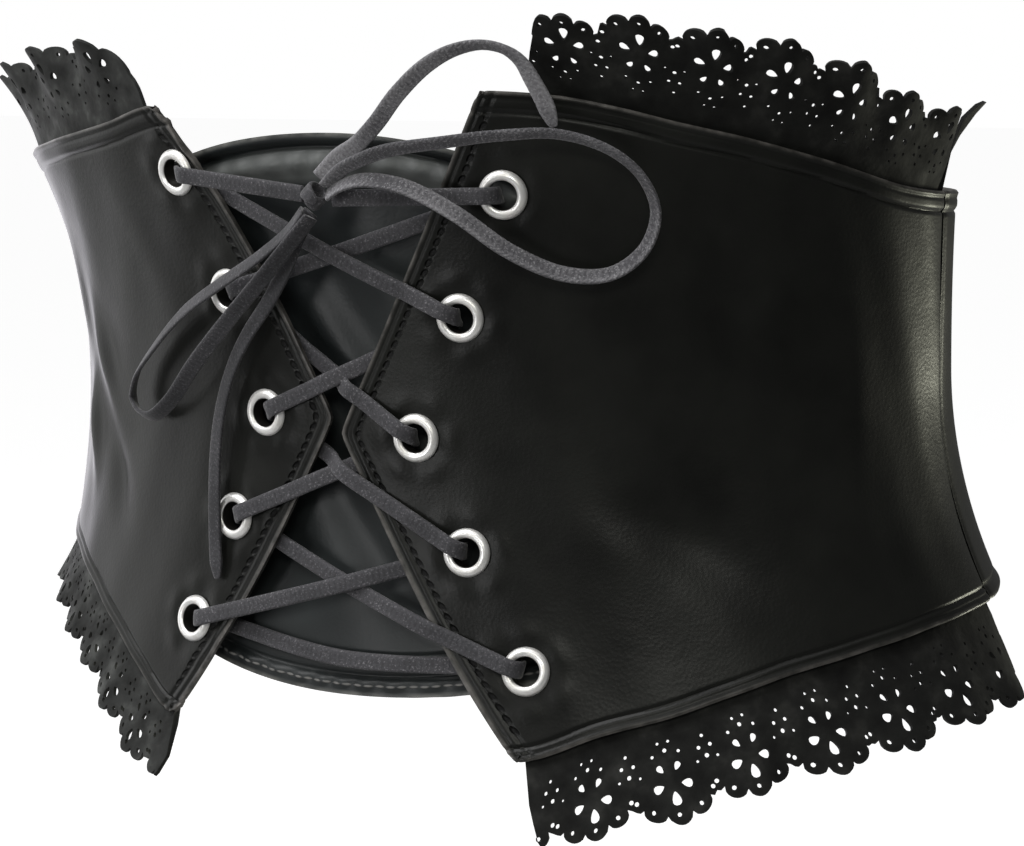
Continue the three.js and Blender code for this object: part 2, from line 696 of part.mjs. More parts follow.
// Where a straight strand crosses the lacing edge of the panel that its first end lies on
function edgeOf(side, from, to) {
  let near = 0;
  let far = 1;
  for (let pass = 0; pass < 24; pass++) {
    const half = (near + far) / 2;
    const spot = from.clone().lerp(to, half);
    if (side * spot.x > lacingEdge(side, spot.y)) near = half;
    else far = half;
  }
  return from.clone().lerp(to, near);
}

// Where the two strands between a row of eyelets and the next one cross, as a share of the way
function meetOf(side, row) {
  const spots = [side, -side].map((way) => [eyeletSpot(way, row), eyeletSpot(-way, row + 1)]);
  const [one, other] = spots.map(([from, to]) => to.clone().sub(from));
  const between = spots[1][0].clone().sub(spots[0][0]);
  return spots[0][0].clone().addScaledVector(one, between.cross(other) / one.cross(other));
}

function eyeletSpot(side, row) {
  const { reach, height } = eyeletPlaces(side)[row];
  return new THREE.Vector2(side * reach, height);
}

// Half of the lacing, from the knot through every eyelet of its zigzag to the last one's back
function lacingHalf(firstSide, strand) {
  const points = [];
  const faces = [];
  let sign = 1;
  const add = (spot, out, face) => {
    points.push(bodyPoint(turnOf(spot.x), spot.y, out));
    faces.push(face ?? bodyNormal(turnOf(spot.x), spot.y).multiplyScalar(sign));
  };
  const knotReach = KNOT.width + GAP;
  const knotSpot = new THREE.Vector2(KNOT.x + firstSide * knotReach, KNOT.z - firstSide * KNOT_SPLIT);
  add(knotSpot, OVER + KNOT_START);
  let before = knotSpot;
  for (let row = 0; row < EYELET_ROWS; row++) {
    const side = row % 2 ? -firstSide : firstSide;
    const spot = eyeletSpot(side, row);
    const last = row === EYELET_ROWS - 1;
    const target = last ? joinSpot() : eyeletSpot(-side, row + 1);
    const comes = toward(spot, before);
    const goes = toward(spot, target);
    for (const { away, out } of INTO_EYELET) add(shifted(spot, comes, away), out);
    const press = comes.clone().add(goes).normalize();
    const tilt = bodyNormal(turnOf(spot.x), spot.y).multiplyScalar(0.01);
    const pressed = new THREE.Vector3(press.x, 0, press.y).add(tilt).multiplyScalar(-sign);
    add(shifted(spot, press, PRESSED), -PANEL_WALL / 2, pressed);
    sign = -sign;
    for (const { away, out } of OUT_OF_EYELET) add(shifted(spot, goes, away), out);
    if (last) break;
    const marks = {
      leave: edgeOf(side, spot, target),
      meet: meetOf(side, row),
      enter: edgeOf(-side, target, spot),
    };
    for (const { from, along, out } of STRANDS[strand]) add(shifted(marks[from], goes, along), out);
    before = spot;
  }
  return { points, faces };
}

// Middle of the join, where the cord runs behind both panels from one last eyelet to the other
function joinSpot() {
  const last = EYELET_ROWS - 1;
  const middle = eyeletSpot(1, last).add(eyeletSpot(-1, last)).multiplyScalar(0.5);
  return middle.setY(middle.y - JOIN_SAG);
}

function lacing() {
  const upper = lacingHalf(-1, "upper");
  const lower = lacingHalf(1, "lower");
  const join = joinSpot();
  const points = [...upper.points, bodyPoint(turnOf(join.x), join.y, BEHIND), ...lower.points.reverse()];
  const back = bodyNormal(turnOf(join.x), join.y).negate();
  return flatCord(points, [...upper.faces, back, ...lower.faces.reverse()]);
}

// Free cord of the bow: its flat face leans between standing on its edge and facing out
function bowCord(rows) {
  const points = rows.map(({ x, y, z }) => new THREE.Vector3(x, y, z));
  const faces = rows.map(({ lean }, index) => {
    const before = points[Math.max(index - 1, 0)];
    const after = points[Math.min(index + 1, points.length - 1)];
    const tangent = after.clone().sub(before).normalize();
    const { x, z } = points[index];
    const out = bodyNormal(turnOf(x), z);
    const angle = THREE.MathUtils.degToRad(lean);
    return tangent.cross(out).multiplyScalar(Math.cos(angle)).addScaledVector(out, Math.sin(angle));
  });
  return flatCord(points, faces);
}

function bowKnot() {
  const { x, y, z, width, depth, height } = KNOT;
  return new THREE.SphereGeometry(1, 10, 7).scale(width, depth, height).translate(x, y, z);
}

const belt = new THREE.Group();

function addPart(name, geometry, finish) {
  const mesh = new THREE.Mesh(geometry, new THREE.MeshStandardMaterial(FACES[finish]));
  mesh.name = name;
  belt.add(mesh);
}

for (const [word, side] of [["right", 1], ["left", -1]]) {
  addPart(`panel_${word}`, frontPanel(side), "panel");
  addPart(`trim_top_${word}`, trim(side, "above"), "trim");
  addPart(`trim_bottom_${word}`, trim(side, "below"), "trim");
  for (const place of eyeletPlaces(side)) {
    addPart(`eyelet_${word}_${place.row + 1}`, eyelet(place), "metal");
  }
}
addPart("back_panel", backPanel(), "panel");
addPart("modesty_panel", modestyPanel(), "modesty");
addPart("lacing", lacing(), "cord");
addPart("bow_knot", bowKnot(), "cord");
addPart("bow_loop_right", bowCord(LOOP_RIGHT), "cord");
addPart("bow_loop_left", bowCord(LOOP_LEFT), "cord");
addPart("bow_tail_up", bowCord(TAIL_UP), "cord");
addPart("bow_tail_down", bowCord(TAIL_DOWN), "cord");

export default belt;
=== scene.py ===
import math
import bmesh
import bpy
import numpy as np
from mathutils import Euler, Matrix, Vector
from mathutils.geometry import delaunay_2d_cdt


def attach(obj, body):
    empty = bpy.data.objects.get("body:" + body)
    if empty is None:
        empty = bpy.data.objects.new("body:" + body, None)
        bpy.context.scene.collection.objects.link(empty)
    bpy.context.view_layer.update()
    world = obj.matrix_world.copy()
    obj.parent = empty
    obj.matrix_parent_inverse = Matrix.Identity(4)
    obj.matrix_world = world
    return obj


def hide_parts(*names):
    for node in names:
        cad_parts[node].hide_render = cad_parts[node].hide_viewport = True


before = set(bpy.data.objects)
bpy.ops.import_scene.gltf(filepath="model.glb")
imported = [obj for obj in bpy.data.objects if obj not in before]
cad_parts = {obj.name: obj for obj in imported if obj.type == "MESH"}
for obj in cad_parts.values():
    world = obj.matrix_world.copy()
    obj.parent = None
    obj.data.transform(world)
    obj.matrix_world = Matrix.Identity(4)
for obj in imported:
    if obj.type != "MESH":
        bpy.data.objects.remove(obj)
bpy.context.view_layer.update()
bpy.ops.object.select_all(action="DESELECT")

# Camera: the photo's view of the belt, from the viewer's right and a little above, with a long lens.
# Lengths are in metres, as everywhere here; side, drop and level move the aim off the belt's origin.
VIEW_TURN = math.radians(28.8)
VIEW_RISE = math.radians(9.76)
VIEW_ROLL = math.radians(-1.145)
VIEW_DISTANCE = 0.69575
VIEW_SIDE = 0.00372
VIEW_DROP = -0.01125
VIEW_LEVEL = 0.0012
VIEW_LENS = 94.27

bpy.ops.object.camera_add()
camera = bpy.context.object
camera.name = "camera"
camera.data.lens = VIEW_LENS
camera.data.clip_start = 0.01
turned = Euler((math.pi / 2 - VIEW_RISE, 0, VIEW_TURN)).to_matrix() @ Matrix.Rotation(VIEW_ROLL, 3, "Z")
camera.matrix_world = Matrix.Translation(
    turned @ Vector((VIEW_SIDE, VIEW_DROP, VIEW_DISTANCE)) + Vector((0, 0, VIEW_LEVEL))
) @ turned.to_4x4()
bpy.context.scene.camera = camera

# Front panels: black faux leather with a satin face, cut to a V above and below the tips that meet
# in the middle. The top and bottom edges are turned in as puffed hems, and the lacing edges are
# rolled and stitched, with a row of sunk stitches beside them.
WAIST_HALF_WIDTH = 0.120
WAIST_HALF_DEPTH = 0.078
WAIST_HEIGHT = 0.008
FLARE_REACH = 0.075
FLARE_RIGHT = {"waist": 0.0, "above": 0.02, "below": 0.22}
FLARE_LEFT = {"waist": -0.025, "above": 0.27, "below": 0.12}
FLARE_FRONT = {"waist": 0.0, "above": 0.06, "below": 0.10}
FRONT_ABOVE = 0.080
FRONT_BELOW = 0.073
PANEL_WALL = 0.0015
TIP_GAP = 0.003
TIP_SOFTNESS = 0.012
CORNER_REACH = 0.041
CORNER_ROUND = {(1, 1): 0.0024, (1, -1): 0.002, (-1, 1): 0.0024, (-1, -1): 0.002}
LIFT = {1: 0.0, -1: 0.0034}
SIDE_SEAM_TURN = math.radians(91)
SIDE_SEAM_DIP = 0.0004
SIDE_SEAM_SOFT = 0.0011
EDGE_COLUMNS = {(1, 1): 1, (1, -1): 2, (-1, 1): 3, (-1, -1): 4}
EDGES = np.array([
    (0, 1.0, 1.02, 0.975, 0.99),
    (20, 1.0, 0.98, 0.95, 0.975),
    (28, 0.985, 0.895, 0.895, 0.855),
    (35, 0.95, 0.84, 0.86, 0.755),
    (42, 0.905, 0.78, 0.83, 0.67),
    (50, 0.86, 0.72, 0.8, 0.6),
    (62, 0.785, 0.665, 0.76, 0.54),
    (76, 0.7, 0.625, 0.7, 0.51),
    (91, 0.66, 0.61, 0.66, 0.51),
    (120, 0.63, 0.6, 0.63, 0.55),
    (180, 0.6, 0.6, 0.6, 0.6),
])
HEM_WIDTHS = {1: 0.0045, -1: 0.0026}
HEM_RISES = {1: 0.00035, -1: 0.0002}
HEM_BEAD = [(0.0006, 0.00055, 0.00022), (0.0016, 0.0004, -0.0002)]
HEM_GROOVE = (0.0003, 0.00045, 0.00045)
STITCH_INSET = 0.0039
STITCH_PITCH = 0.0027
LACING_ROLL = [(0.0006, 0.0006, 0.00016), (0.0016, 0.0005, -0.00022), (STITCH_INSET, 0.0007, -0.0003)]
PANEL_RIPPLE = 0.00022
CREASES = [
    (-1, 0.096, 0.010, 60, 0.036, 0.0045, 0.0019),
    (-1, 0.108, -0.008, 78, 0.034, 0.0042, 0.0019),
    (-1, 0.086, -0.018, 60, 0.034, 0.0055, -0.0014),
    (-1, 0.060, 0.040, 62, 0.036, 0.006, 0.0006),
    (-1, 0.118, 0.022, 88, 0.040, 0.005, 0.0008),
    (1, 0.086, -0.022, -35, 0.044, 0.0095, -0.0021),
    (1, 0.112, 0.022, 80, 0.044, 0.009, 0.00105),
    (1, 0.070, -0.024, -25, 0.036, 0.006, 0.0005),
    (1, 0.140, 0.000, 86, 0.060, 0.007, 0.0006),
]
EYELET_ROWS = 5
EYELET_PITCH_ABOVE = 0.0283
EYELET_PITCH_BELOW = 0.0259
EYELET_FIRST_REACH = 0.021
EYELET_SPREAD = {1: 0.012, -1: 0.0097}
EYELET_HOLE = 0.0034
EYELET_RIM = 0.0057
EYELET_BARREL_WALL = 0.0006
EYELET_RIM_RISE = 0.0008
EYELET_SEAT = 0.00045
EYELET_DIMPLE = 0.00035
EYELET_PUCKERS = {"count": 6, "away": 0.0085, "wide": 0.0022, "rise": 0.0003}
GAP = 0.0003
NORMAL_TURN = 0.008
NORMAL_RISE = 0.0005
CUTTER_SIDES = 40
PANEL_CELLS = (150, 136)
PANEL_COLUMNS = [(0, 0.14, 0.97, 1), (0, 0.036, 0.98, 1)]
PANEL_ROWS = [(0, 0.7, 1), (0, 0.885, 1)]
STITCH_LONG = 0.00105


def half_sizes(side, height, out):
    """Half width and half depth of the belt at heights, on one side of it, standing out by out."""
    rise = (height - WAIST_HEIGHT) / FLARE_REACH
    flare = {key: np.where(side >= 0, FLARE_RIGHT[key], FLARE_LEFT[key]) for key in FLARE_RIGHT}

    def spread(way):
        bend = np.where(rise >= 0, way["above"], way["below"])
        return WAIST_HALF_WIDTH * (way["waist"] + bend * rise**2) + out

    return WAIST_HALF_WIDTH + spread(flare), WAIST_HALF_DEPTH + spread(FLARE_FRONT)


def body_point(turn, height, out=0.0):
    """Points of the belt's surface, turned from the middle front towards +X, standing out by out."""
    turn, height, out = np.broadcast_arrays(*(np.asarray(value, float) for value in (turn, height, out)))
    half_width, half_depth = half_sizes(np.sin(turn), height, out)
    return np.stack([half_width * np.sin(turn), -half_depth * np.cos(turn), height], -1)


def body_normal(turn, height):
    across = body_point(turn + NORMAL_TURN, height) - body_point(turn - NORMAL_TURN, height)
    up = body_point(turn, height + NORMAL_RISE) - body_point(turn, height - NORMAL_RISE)
    normal = np.cross(across, up)
    return normal / np.linalg.norm(normal, axis=-1, keepdims=True)


def body_place(points):
    """Turn and height of points that lie near the belt's surface."""
    half_width, half_depth = half_sizes(points[:, 0], points[:, 2], 0.0)
    return np.arctan2(points[:, 0] / half_width, -points[:, 1] / half_depth), points[:, 2]


def edge_height(side, level, turn):
    """Height of the top (level 1) or bottom (level -1) edge, on a smooth curve through the table."""
    turns = np.radians(EDGES[:, 0])
    shares = EDGES[:, EDGE_COLUMNS[side, level]]
    slopes = np.concatenate([
        [(shares[1] - shares[0]) / (turns[1] - turns[0])],
        (shares[2:] - shares[:-2]) / (turns[2:] - turns[:-2]),
        [(shares[-1] - shares[-2]) / (turns[-1] - turns[-2])],
    ])
    row = np.clip(np.searchsorted(turns, turn) - 1, 0, len(turns) - 2)
    span = turns[row + 1] - turns[row]
    t = (turn - turns[row]) / span
    bend = t * t * (3 - 2 * t)
    share = shares[row] * (1 - bend) + shares[row + 1] * bend
    share = share + span * t * (1 - t) * (slopes[row] * (1 - t) - slopes[row + 1] * t)
    return (FRONT_ABOVE if level > 0 else -FRONT_BELOW) * share


def soft_share(share):
    """The share again, rounded off near 0, so that the tips aren't razor sharp."""
    start = TIP_SOFTNESS
    return (np.sqrt(share**2 + start**2) - start) / (math.sqrt(1 + start**2) - start)


def lacing_edge(side, height):
    """Reach of a lacing edge from the middle at heights: straight from the tip to each corner."""
    rise = height - LIFT[side]
    corner_turn = CORNER_REACH / WAIST_HALF_WIDTH
    above, below = (edge_height(side, level, corner_turn) - LIFT[side] for level in (1, -1))
    share = soft_share(np.where(rise >= 0, rise / above, rise / below))
    return TIP_GAP / 2 + (CORNER_REACH - TIP_GAP / 2) * share


def bump(distance, width):
    return np.exp(-((distance / width) ** 2))


def eyelet_spots(side):
    """Signed reach and height of each eyelet's middle in a panel, from the top one down."""
    middle = (EYELET_ROWS - 1) / 2
    spots = []
    for row in range(EYELET_ROWS):
        pitch = EYELET_PITCH_ABOVE if row < middle else EYELET_PITCH_BELOW
        reach = EYELET_FIRST_REACH + EYELET_SPREAD[side] * abs(row - middle)
        spots.append((side * reach, LIFT[side] + pitch * (middle - row)))
    return np.array(spots)


def hem_relief(level, from_edge):
    """A turned hem: a low flat band with a narrow bead at its free edge and a groove at its seam."""
    width = np.where(level > 0, HEM_WIDTHS[1], HEM_WIDTHS[-1])
    rise = np.where(level > 0, HEM_RISES[1], HEM_RISES[-1])
    band = np.clip(1 - np.abs(from_edge / width * 2 - 1) ** 6, 0, 1) * (from_edge < width)
    bead = sum(height * bump(from_edge - inset, wide) for inset, wide, height in HEM_BEAD)
    inset, wide, deep = HEM_GROOVE
    return rise * band + bead - deep * bump(from_edge - width - inset, wide)


def panel_relief(side, level, reach, height, from_lacing, from_edge):
    """How far the leather stands out: creases, hems, rolled edge, stitch groove and eyelet puckers."""
    out = np.zeros_like(reach)
    for crease_side, crease_reach, crease_height, lean, length, width, depth in CREASES:
        if crease_side == side:
            x = reach - crease_reach
            z = height - crease_height
            along = x * math.cos(math.radians(lean)) + z * math.sin(math.radians(lean))
            over = z * math.cos(math.radians(lean)) - x * math.sin(math.radians(lean))
            out = out + depth * np.exp(-2 * (2 * along / length) ** 2) * bump(over, width)
    out = out + PANEL_RIPPLE * np.sin(reach * 150 + side) * np.sin(height * 95 + 2 * reach * 60)
    out = out + hem_relief(level, from_edge)
    out = out - SIDE_SEAM_DIP * bump(SIDE_SEAM_TURN * WAIST_HALF_WIDTH - reach, SIDE_SEAM_SOFT)
    for inset, width, rise in LACING_ROLL:
        out = out + rise * bump(from_lacing - inset, width)
    for spot_reach, spot_height in eyelet_spots(side):
        x = reach - abs(spot_reach)
        z = height - spot_height
        away = np.hypot(x, z)
        puckers = 1 + 0.5 * np.cos(EYELET_PUCKERS["count"] * np.arctan2(z, x) + spot_height * 300)
        ring = bump(away - EYELET_PUCKERS["away"], EYELET_PUCKERS["wide"])
        out = out - EYELET_DIMPLE * bump(away, EYELET_RIM)
        out = out + EYELET_PUCKERS["rise"] * puckers * ring
    return out


def grid_cells(cells):
    """A flat grid primitive of one metre, with nothing else selected."""
    bpy.ops.object.select_all(action="DESELECT")
    bpy.ops.mesh.primitive_grid_add(x_subdivisions=cells[0], y_subdivisions=cells[1], size=1)
    return bpy.context.object


def lay_grid(piece, place):
    """Move each vertex of a flat grid to the point that place gives for its shares across and up.

    Tables of columns and rows say which share of the piece each share of the grid reaches, so that
    its lines crowd where the hems and edges need them.
    """
    spots = vertex_points(piece.data) + 0.5
    piece.data.vertices.foreach_set("co", place(spots[:, 0], spots[:, 1]).astype(np.float32).ravel())
    piece.data.update()


def vertex_points(mesh):
    points = np.empty(len(mesh.vertices) * 3, np.float32)
    mesh.vertices.foreach_get("co", points)
    return points.reshape(-1, 3).astype(float)


def apply_modifier(piece, kind, **settings):
    bpy.context.view_layer.objects.active = piece
    modifier = piece.modifiers.new(kind.lower(), kind)
    for key, value in settings.items():
        setattr(modifier, key, value)
    bpy.ops.object.modifier_apply(modifier=modifier.name)


def smooth_by_angle(piece, degrees):
    bpy.ops.object.select_all(action="DESELECT")
    piece.select_set(True)
    bpy.context.view_layer.objects.active = piece
    bpy.ops.object.shade_smooth_by_angle(angle=math.radians(degrees))


def mark_seams(piece, along, from_lacing, from_hem):
    """Attribute for the leather: run beside the stitches, distance from that edge, and from a hem."""
    seams = np.stack([along, np.broadcast_to(from_lacing, along.shape), from_hem], 1)
    attribute = piece.data.attributes.new("seams", "FLOAT_VECTOR", "POINT")
    attribute.data.foreach_set("vector", seams.astype(np.float32).ravel())


def eyelet_matrix(spot):
    """Matrix that stands +Z along the belt's outward normal at a spot."""
    turn = spot[0] / WAIST_HALF_WIDTH
    normal = Vector(body_normal(turn, spot[1]))
    sideways = Vector((0, 0, 1)).cross(normal).normalized()
    axes = Matrix((sideways, normal.cross(sideways), normal)).transposed()
    return Matrix.Translation(Vector(body_point(turn, spot[1]))) @ axes.to_4x4()


def cut_eyelet_holes(piece, side):
    radius = EYELET_HOLE + EYELET_BARREL_WALL + GAP
    cutters = []
    for spot in eyelet_spots(side):
        bpy.ops.object.select_all(action="DESELECT")
        bpy.ops.mesh.primitive_cylinder_add(vertices=CUTTER_SIDES, radius=radius, depth=PANEL_WALL * 6)
        cutters.append(bpy.context.object)
        cutters[-1].data.transform(eyelet_matrix(spot))
    for cutter in cutters:
        cutter.select_set(True)
    bpy.context.view_layer.objects.active = cutters[0]
    bpy.ops.object.join()
    cutter = bpy.context.object
    apply_modifier(piece, "BOOLEAN", object=cutter, operation="DIFFERENCE", solver="EXACT")
    bpy.data.objects.remove(cutter)


def front_panel(side):
    piece = grid_cells(PANEL_CELLS)
    piece.name = "right_front_leather" if side > 0 else "left_front_leather"

    def place(across, up):
        column = np.interp(across, *PANEL_COLUMNS)
        level = np.where(up >= 0.5, 1, -1)
        share = np.interp(np.abs(up * 2 - 1), *PANEL_ROWS)
        start = TIP_GAP / 2 + (CORNER_REACH - TIP_GAP / 2) * soft_share(share)
        from_lacing = column * (SIDE_SEAM_TURN * WAIST_HALF_WIDTH - start)
        turn = (start + from_lacing) / WAIST_HALF_WIDTH
        edge = np.where(level > 0, edge_height(side, 1, turn), edge_height(side, -1, turn))
        from_edge = np.abs(edge - LIFT[side]) * (1 - share)
        rounding = np.where(level > 0, CORNER_ROUND[side, 1], CORNER_ROUND[side, -1])
        corner = (from_lacing < rounding) & (from_edge < rounding)
        x = np.where(corner, 1 - from_lacing / rounding, 0)
        z = np.where(corner, 1 - from_edge / rounding, 0)
        height = edge - level * from_edge
        out = panel_relief(side, level, start + from_lacing, height, from_lacing, from_edge)
        from_lacing = np.where(corner, rounding * (1 - x * np.sqrt(1 - z * z / 2)), from_lacing)
        from_edge = np.where(corner, rounding * (1 - z * np.sqrt(1 - x * x / 2)), from_edge)
        return body_point(side * (start + from_lacing) / WAIST_HALF_WIDTH, edge - level * from_edge, out)

    lay_grid(piece, place)
    if side < 0:
        piece.data.flip_normals()
    apply_modifier(piece, "SOLIDIFY", thickness=PANEL_WALL, offset=-1)
    cut_eyelet_holes(piece, side)
    turn, height = body_place(vertex_points(piece.data))
    slant = math.hypot(1, CORNER_REACH / FRONT_ABOVE)
    from_lacing = (np.abs(turn) * WAIST_HALF_WIDTH - lacing_edge(side, height)) / slant
    top, bottom = (edge_height(side, level, np.abs(turn)) for level in (1, -1))
    mark_seams(piece, (height - LIFT[side]) * slant, from_lacing, np.minimum(top - height, height - bottom))
    smooth_by_angle(piece, 50)
    piece.data.materials.append(black_leather)
    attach(piece, "root")
    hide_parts("panel_right" if side > 0 else "panel_left")


def new_material(name, base, roughness):
    """A material with its node tree and shader."""
    material = bpy.data.materials.new(name)
    material.use_nodes = True
    tree = material.node_tree
    shader = tree.nodes["Principled BSDF"]
    shader.inputs["Base Color"].default_value = (*base, 1)
    shader.inputs["Roughness"].default_value = roughness
    return material, tree, shader


def add_node(tree, kind, settings, **sockets):
    """A node, its settings, and its sockets by name or by _number, each a value or an output."""
    node = tree.nodes.new(kind)
    for key, value in settings.items():
        setattr(node, key, value)
    for key, value in sockets.items():
        socket = node.inputs[int(key[1:])] if key[0] == "_" else node.inputs[key.replace("_", " ")]
        if isinstance(value, bpy.types.NodeSocket):
            tree.links.new(value, socket)
        else:
            socket.default_value = value
    return node


def maths(tree, operation, *values):
    sockets = {f"_{index}": value for index, value in enumerate(values)}
    return add_node(tree, "ShaderNodeMath", {"operation": operation}, **sockets).outputs[0]


def times(tree, one, other):
    return maths(tree, "MULTIPLY", one, other)


def object_place(tree):
    return add_node(tree, "ShaderNodeTexCoord", {}).outputs["Object"]


def mesh_attribute(tree, name, output):
    return add_node(tree, "ShaderNodeAttribute", {"attribute_name": name}).outputs[output]


def ranged(tree, value, low, high, new_low, new_high):
    node = add_node(tree, "ShaderNodeMapRange", {}, _0=value, _1=low, _2=high, _3=new_low, _4=new_high)
    return node.outputs[0]


def colour_ramp(tree, factor, *stops):
    ramp = add_node(tree, "ShaderNodeValToRGB", {}, _0=factor)
    elements = ramp.color_ramp.elements
    while len(elements) < len(stops):
        elements.new(0.5)
    for element, (place, colour) in zip(elements, stops):
        element.position = place
        element.color = (*colour, 1)
    return ramp.outputs["Color"]


def noise(tree, place, scale, detail):
    return add_node(tree, "ShaderNodeTexNoise", {}, Vector=place, Scale=scale, Detail=detail).outputs["Fac"]


def mixed_colour(tree, factor, one, other):
    node = add_node(tree, "ShaderNodeMix", {"data_type": "RGBA"}, _0=factor, _6=one, _7=other)
    return node.outputs[2]


def bumped(tree, shader, *layers):
    """Bump layers, each a height and the distance that a height of one stands for."""
    normal = None
    for height, distance in layers:
        node = add_node(tree, "ShaderNodeBump", {}, Height=height, Distance=distance, Strength=1.0)
        if normal:
            tree.links.new(normal, node.inputs["Normal"])
        normal = node.outputs[0]
    tree.links.new(normal, shader.inputs["Normal"])


def leather_material(name, dark, light, wear_and_painted_light, thread, gloss, roughness, stitches, painted_band_highlight=None):
    """Satin faux leather: fine grain, cloudy tone, edges painted lighter as wear and as a painted highlight,
    and a row of stitches.

    stitches is their half width, their rise and how far from a hem they start. The last argument is a
    painted
    highlight: a lighter band, from and to its edge and above a height, and its colour.
    """
    material, tree, shader = new_material(name, dark, roughness)
    place = object_place(tree)
    seams = mesh_attribute(tree, "seams", "Vector")
    run, from_lacing, from_hem = add_node(tree, "ShaderNodeSeparateXYZ", {}, _0=seams).outputs
    stitch_wide, stitch_rise, stitches_from_hem = stitches
    clouds = noise(tree, place, 38.0, 4.0)
    grain = noise(tree, place, 1500.0, 3.0)
    pores = add_node(tree, "ShaderNodeTexVoronoi", {}, Vector=place, Scale=1100.0).outputs["Distance"]
    pitch = maths(tree, "DIVIDE", run, STITCH_PITCH)
    along = times(tree, maths(tree, "PINGPONG", pitch, 0.5), STITCH_PITCH / STITCH_LONG)
    over = maths(tree, "DIVIDE", maths(tree, "SUBTRACT", from_lacing, STITCH_INSET), stitch_wide)
    oval = maths(tree, "ADD", times(tree, along, along), times(tree, over, over))
    past_hem = maths(tree, "GREATER_THAN", from_hem, stitches_from_hem)
    stitch = times(tree, ranged(tree, oval, 0.3, 1.3, 1.0, 0.0), past_hem)
    edge = maths(tree, "MINIMUM", from_lacing, from_hem)
    # Edge wear and painted highlight: a thin band along the lacing edges and hems is painted lighter. Part
    # of it is wear, and part stands in for light on the rolled edges.
    edge_wear_and_highlight_mask = times(
        tree,
        ranged(tree, edge, 0.0002, 0.0011, 1.0, 0.0),
        ranged(tree, noise(tree, place, 240.0, 3.0), 0.35, 0.65, 0.25, 1.0),
    )
    tone = mixed_colour(tree, ranged(tree, clouds, 0.35, 0.7, 0.0, 1.0), (*dark, 1), (*light, 1))
    # Painted highlight: a lighter band by the top hem, standing in for light on the puffed band.
    if painted_band_highlight:
        near, far, above, colour = painted_band_highlight
        height = add_node(tree, "ShaderNodeSeparateXYZ", {}, _0=place).outputs[2]
        band = times(
            tree,
            ranged(tree, from_hem, near - 0.001, near + 0.001, 0.0, 1.0),
            ranged(tree, from_hem, far - 0.001, far + 0.001, 1.0, 0.0),
        )
        band = times(tree, band, ranged(tree, height, above, above + 0.01, 0.0, 1.0))
        tone = mixed_colour(tree, band, tone, (*colour, 1))
    tone = mixed_colour(tree, edge_wear_and_highlight_mask, tone, (*wear_and_painted_light, 1))
    tone = mixed_colour(tree, stitch, tone, (*thread, 1))
    tree.links.new(tone, shader.inputs["Base Color"])
    shader.inputs["Specular IOR Level"].default_value = gloss
    dull = maths(tree, "MULTIPLY_ADD", clouds, 0.16, roughness - 0.08)
    tree.links.new(maths(tree, "MULTIPLY_ADD", stitch, 0.3, dull), shader.inputs["Roughness"])
    bumped(
        tree,
        shader,
        (noise(tree, place, 90.0, 2.0), 0.00013),
        (pores, 0.000022),
        (grain, 0.000018),
        (stitch, stitch_rise),
    )
    return material


black_leather = leather_material(
    "black_satin_leather",
    dark=(0.0042, 0.0044, 0.0038),
    light=(0.0098, 0.0103, 0.0088),
    # edge band colour: wear and painted highlight
    wear_and_painted_light=(0.12, 0.113, 0.106),
    thread=(0.0015, 0.0015, 0.0015),
    gloss=0.22,
    roughness=0.36,
    stitches=(0.0007, -0.0006, 0.0058),
)
for panel_side in (1, -1):
    front_panel(panel_side)

# Back panel: one plain strip of the same leather, with the same turned hems. It is sewn to the front
# panels at the side seams, where both are drawn in to a shallow groove.
BACK_CELLS = (150, 70)
BACK_COLUMNS = [(0, 0.05, 0.95, 1), (0, 0.01, 0.99, 1)]
BACK_ROWS = [(0, 0.2, 0.8, 1), (0, 0.09, 0.91, 1)]
BACK_SEAM_GAP = 0.00006
BACK_RIPPLE = 0.0002
NO_STITCHES = 0.05


def back_edges(turn):
    """Height of the back's top and bottom edges at turns round the waist."""
    from_front = np.minimum(turn, 2 * math.pi - turn)
    return (
        np.where(turn < math.pi, edge_height(1, level, from_front), edge_height(-1, level, from_front))
        for level in (1, -1)
    )


def back_panel():
    piece = grid_cells(BACK_CELLS)
    piece.name = "back_leather"
    start = SIDE_SEAM_TURN + BACK_SEAM_GAP / WAIST_HALF_DEPTH

    def place(across, up):
        turn = start + (2 * math.pi - 2 * start) * np.interp(across, *BACK_COLUMNS)
        top, bottom = back_edges(turn)
        height = bottom + (top - bottom) * np.interp(up, *BACK_ROWS)
        level = np.where(up >= 0.5, 1, -1)
        out = hem_relief(level, np.where(level > 0, top - height, height - bottom))
        out = out + BACK_RIPPLE * np.sin(turn * 9) * np.sin(height * 80 + turn * 3)
        from_seam = np.minimum(turn - start, 2 * math.pi - start - turn) * WAIST_HALF_DEPTH
        out = out - SIDE_SEAM_DIP * bump(from_seam, SIDE_SEAM_SOFT)
        return body_point(turn, height, out)

    lay_grid(piece, place)
    apply_modifier(piece, "SOLIDIFY", thickness=PANEL_WALL, offset=-1)
    turn, height = body_place(vertex_points(piece.data))
    top, bottom = back_edges(turn % (2 * math.pi))
    mark_seams(piece, height, NO_STITCHES, np.minimum(top - height, height - bottom))
    smooth_by_angle(piece, 50)
    piece.data.materials.append(black_leather)
    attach(piece, "root")
    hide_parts("back_panel")


back_panel()

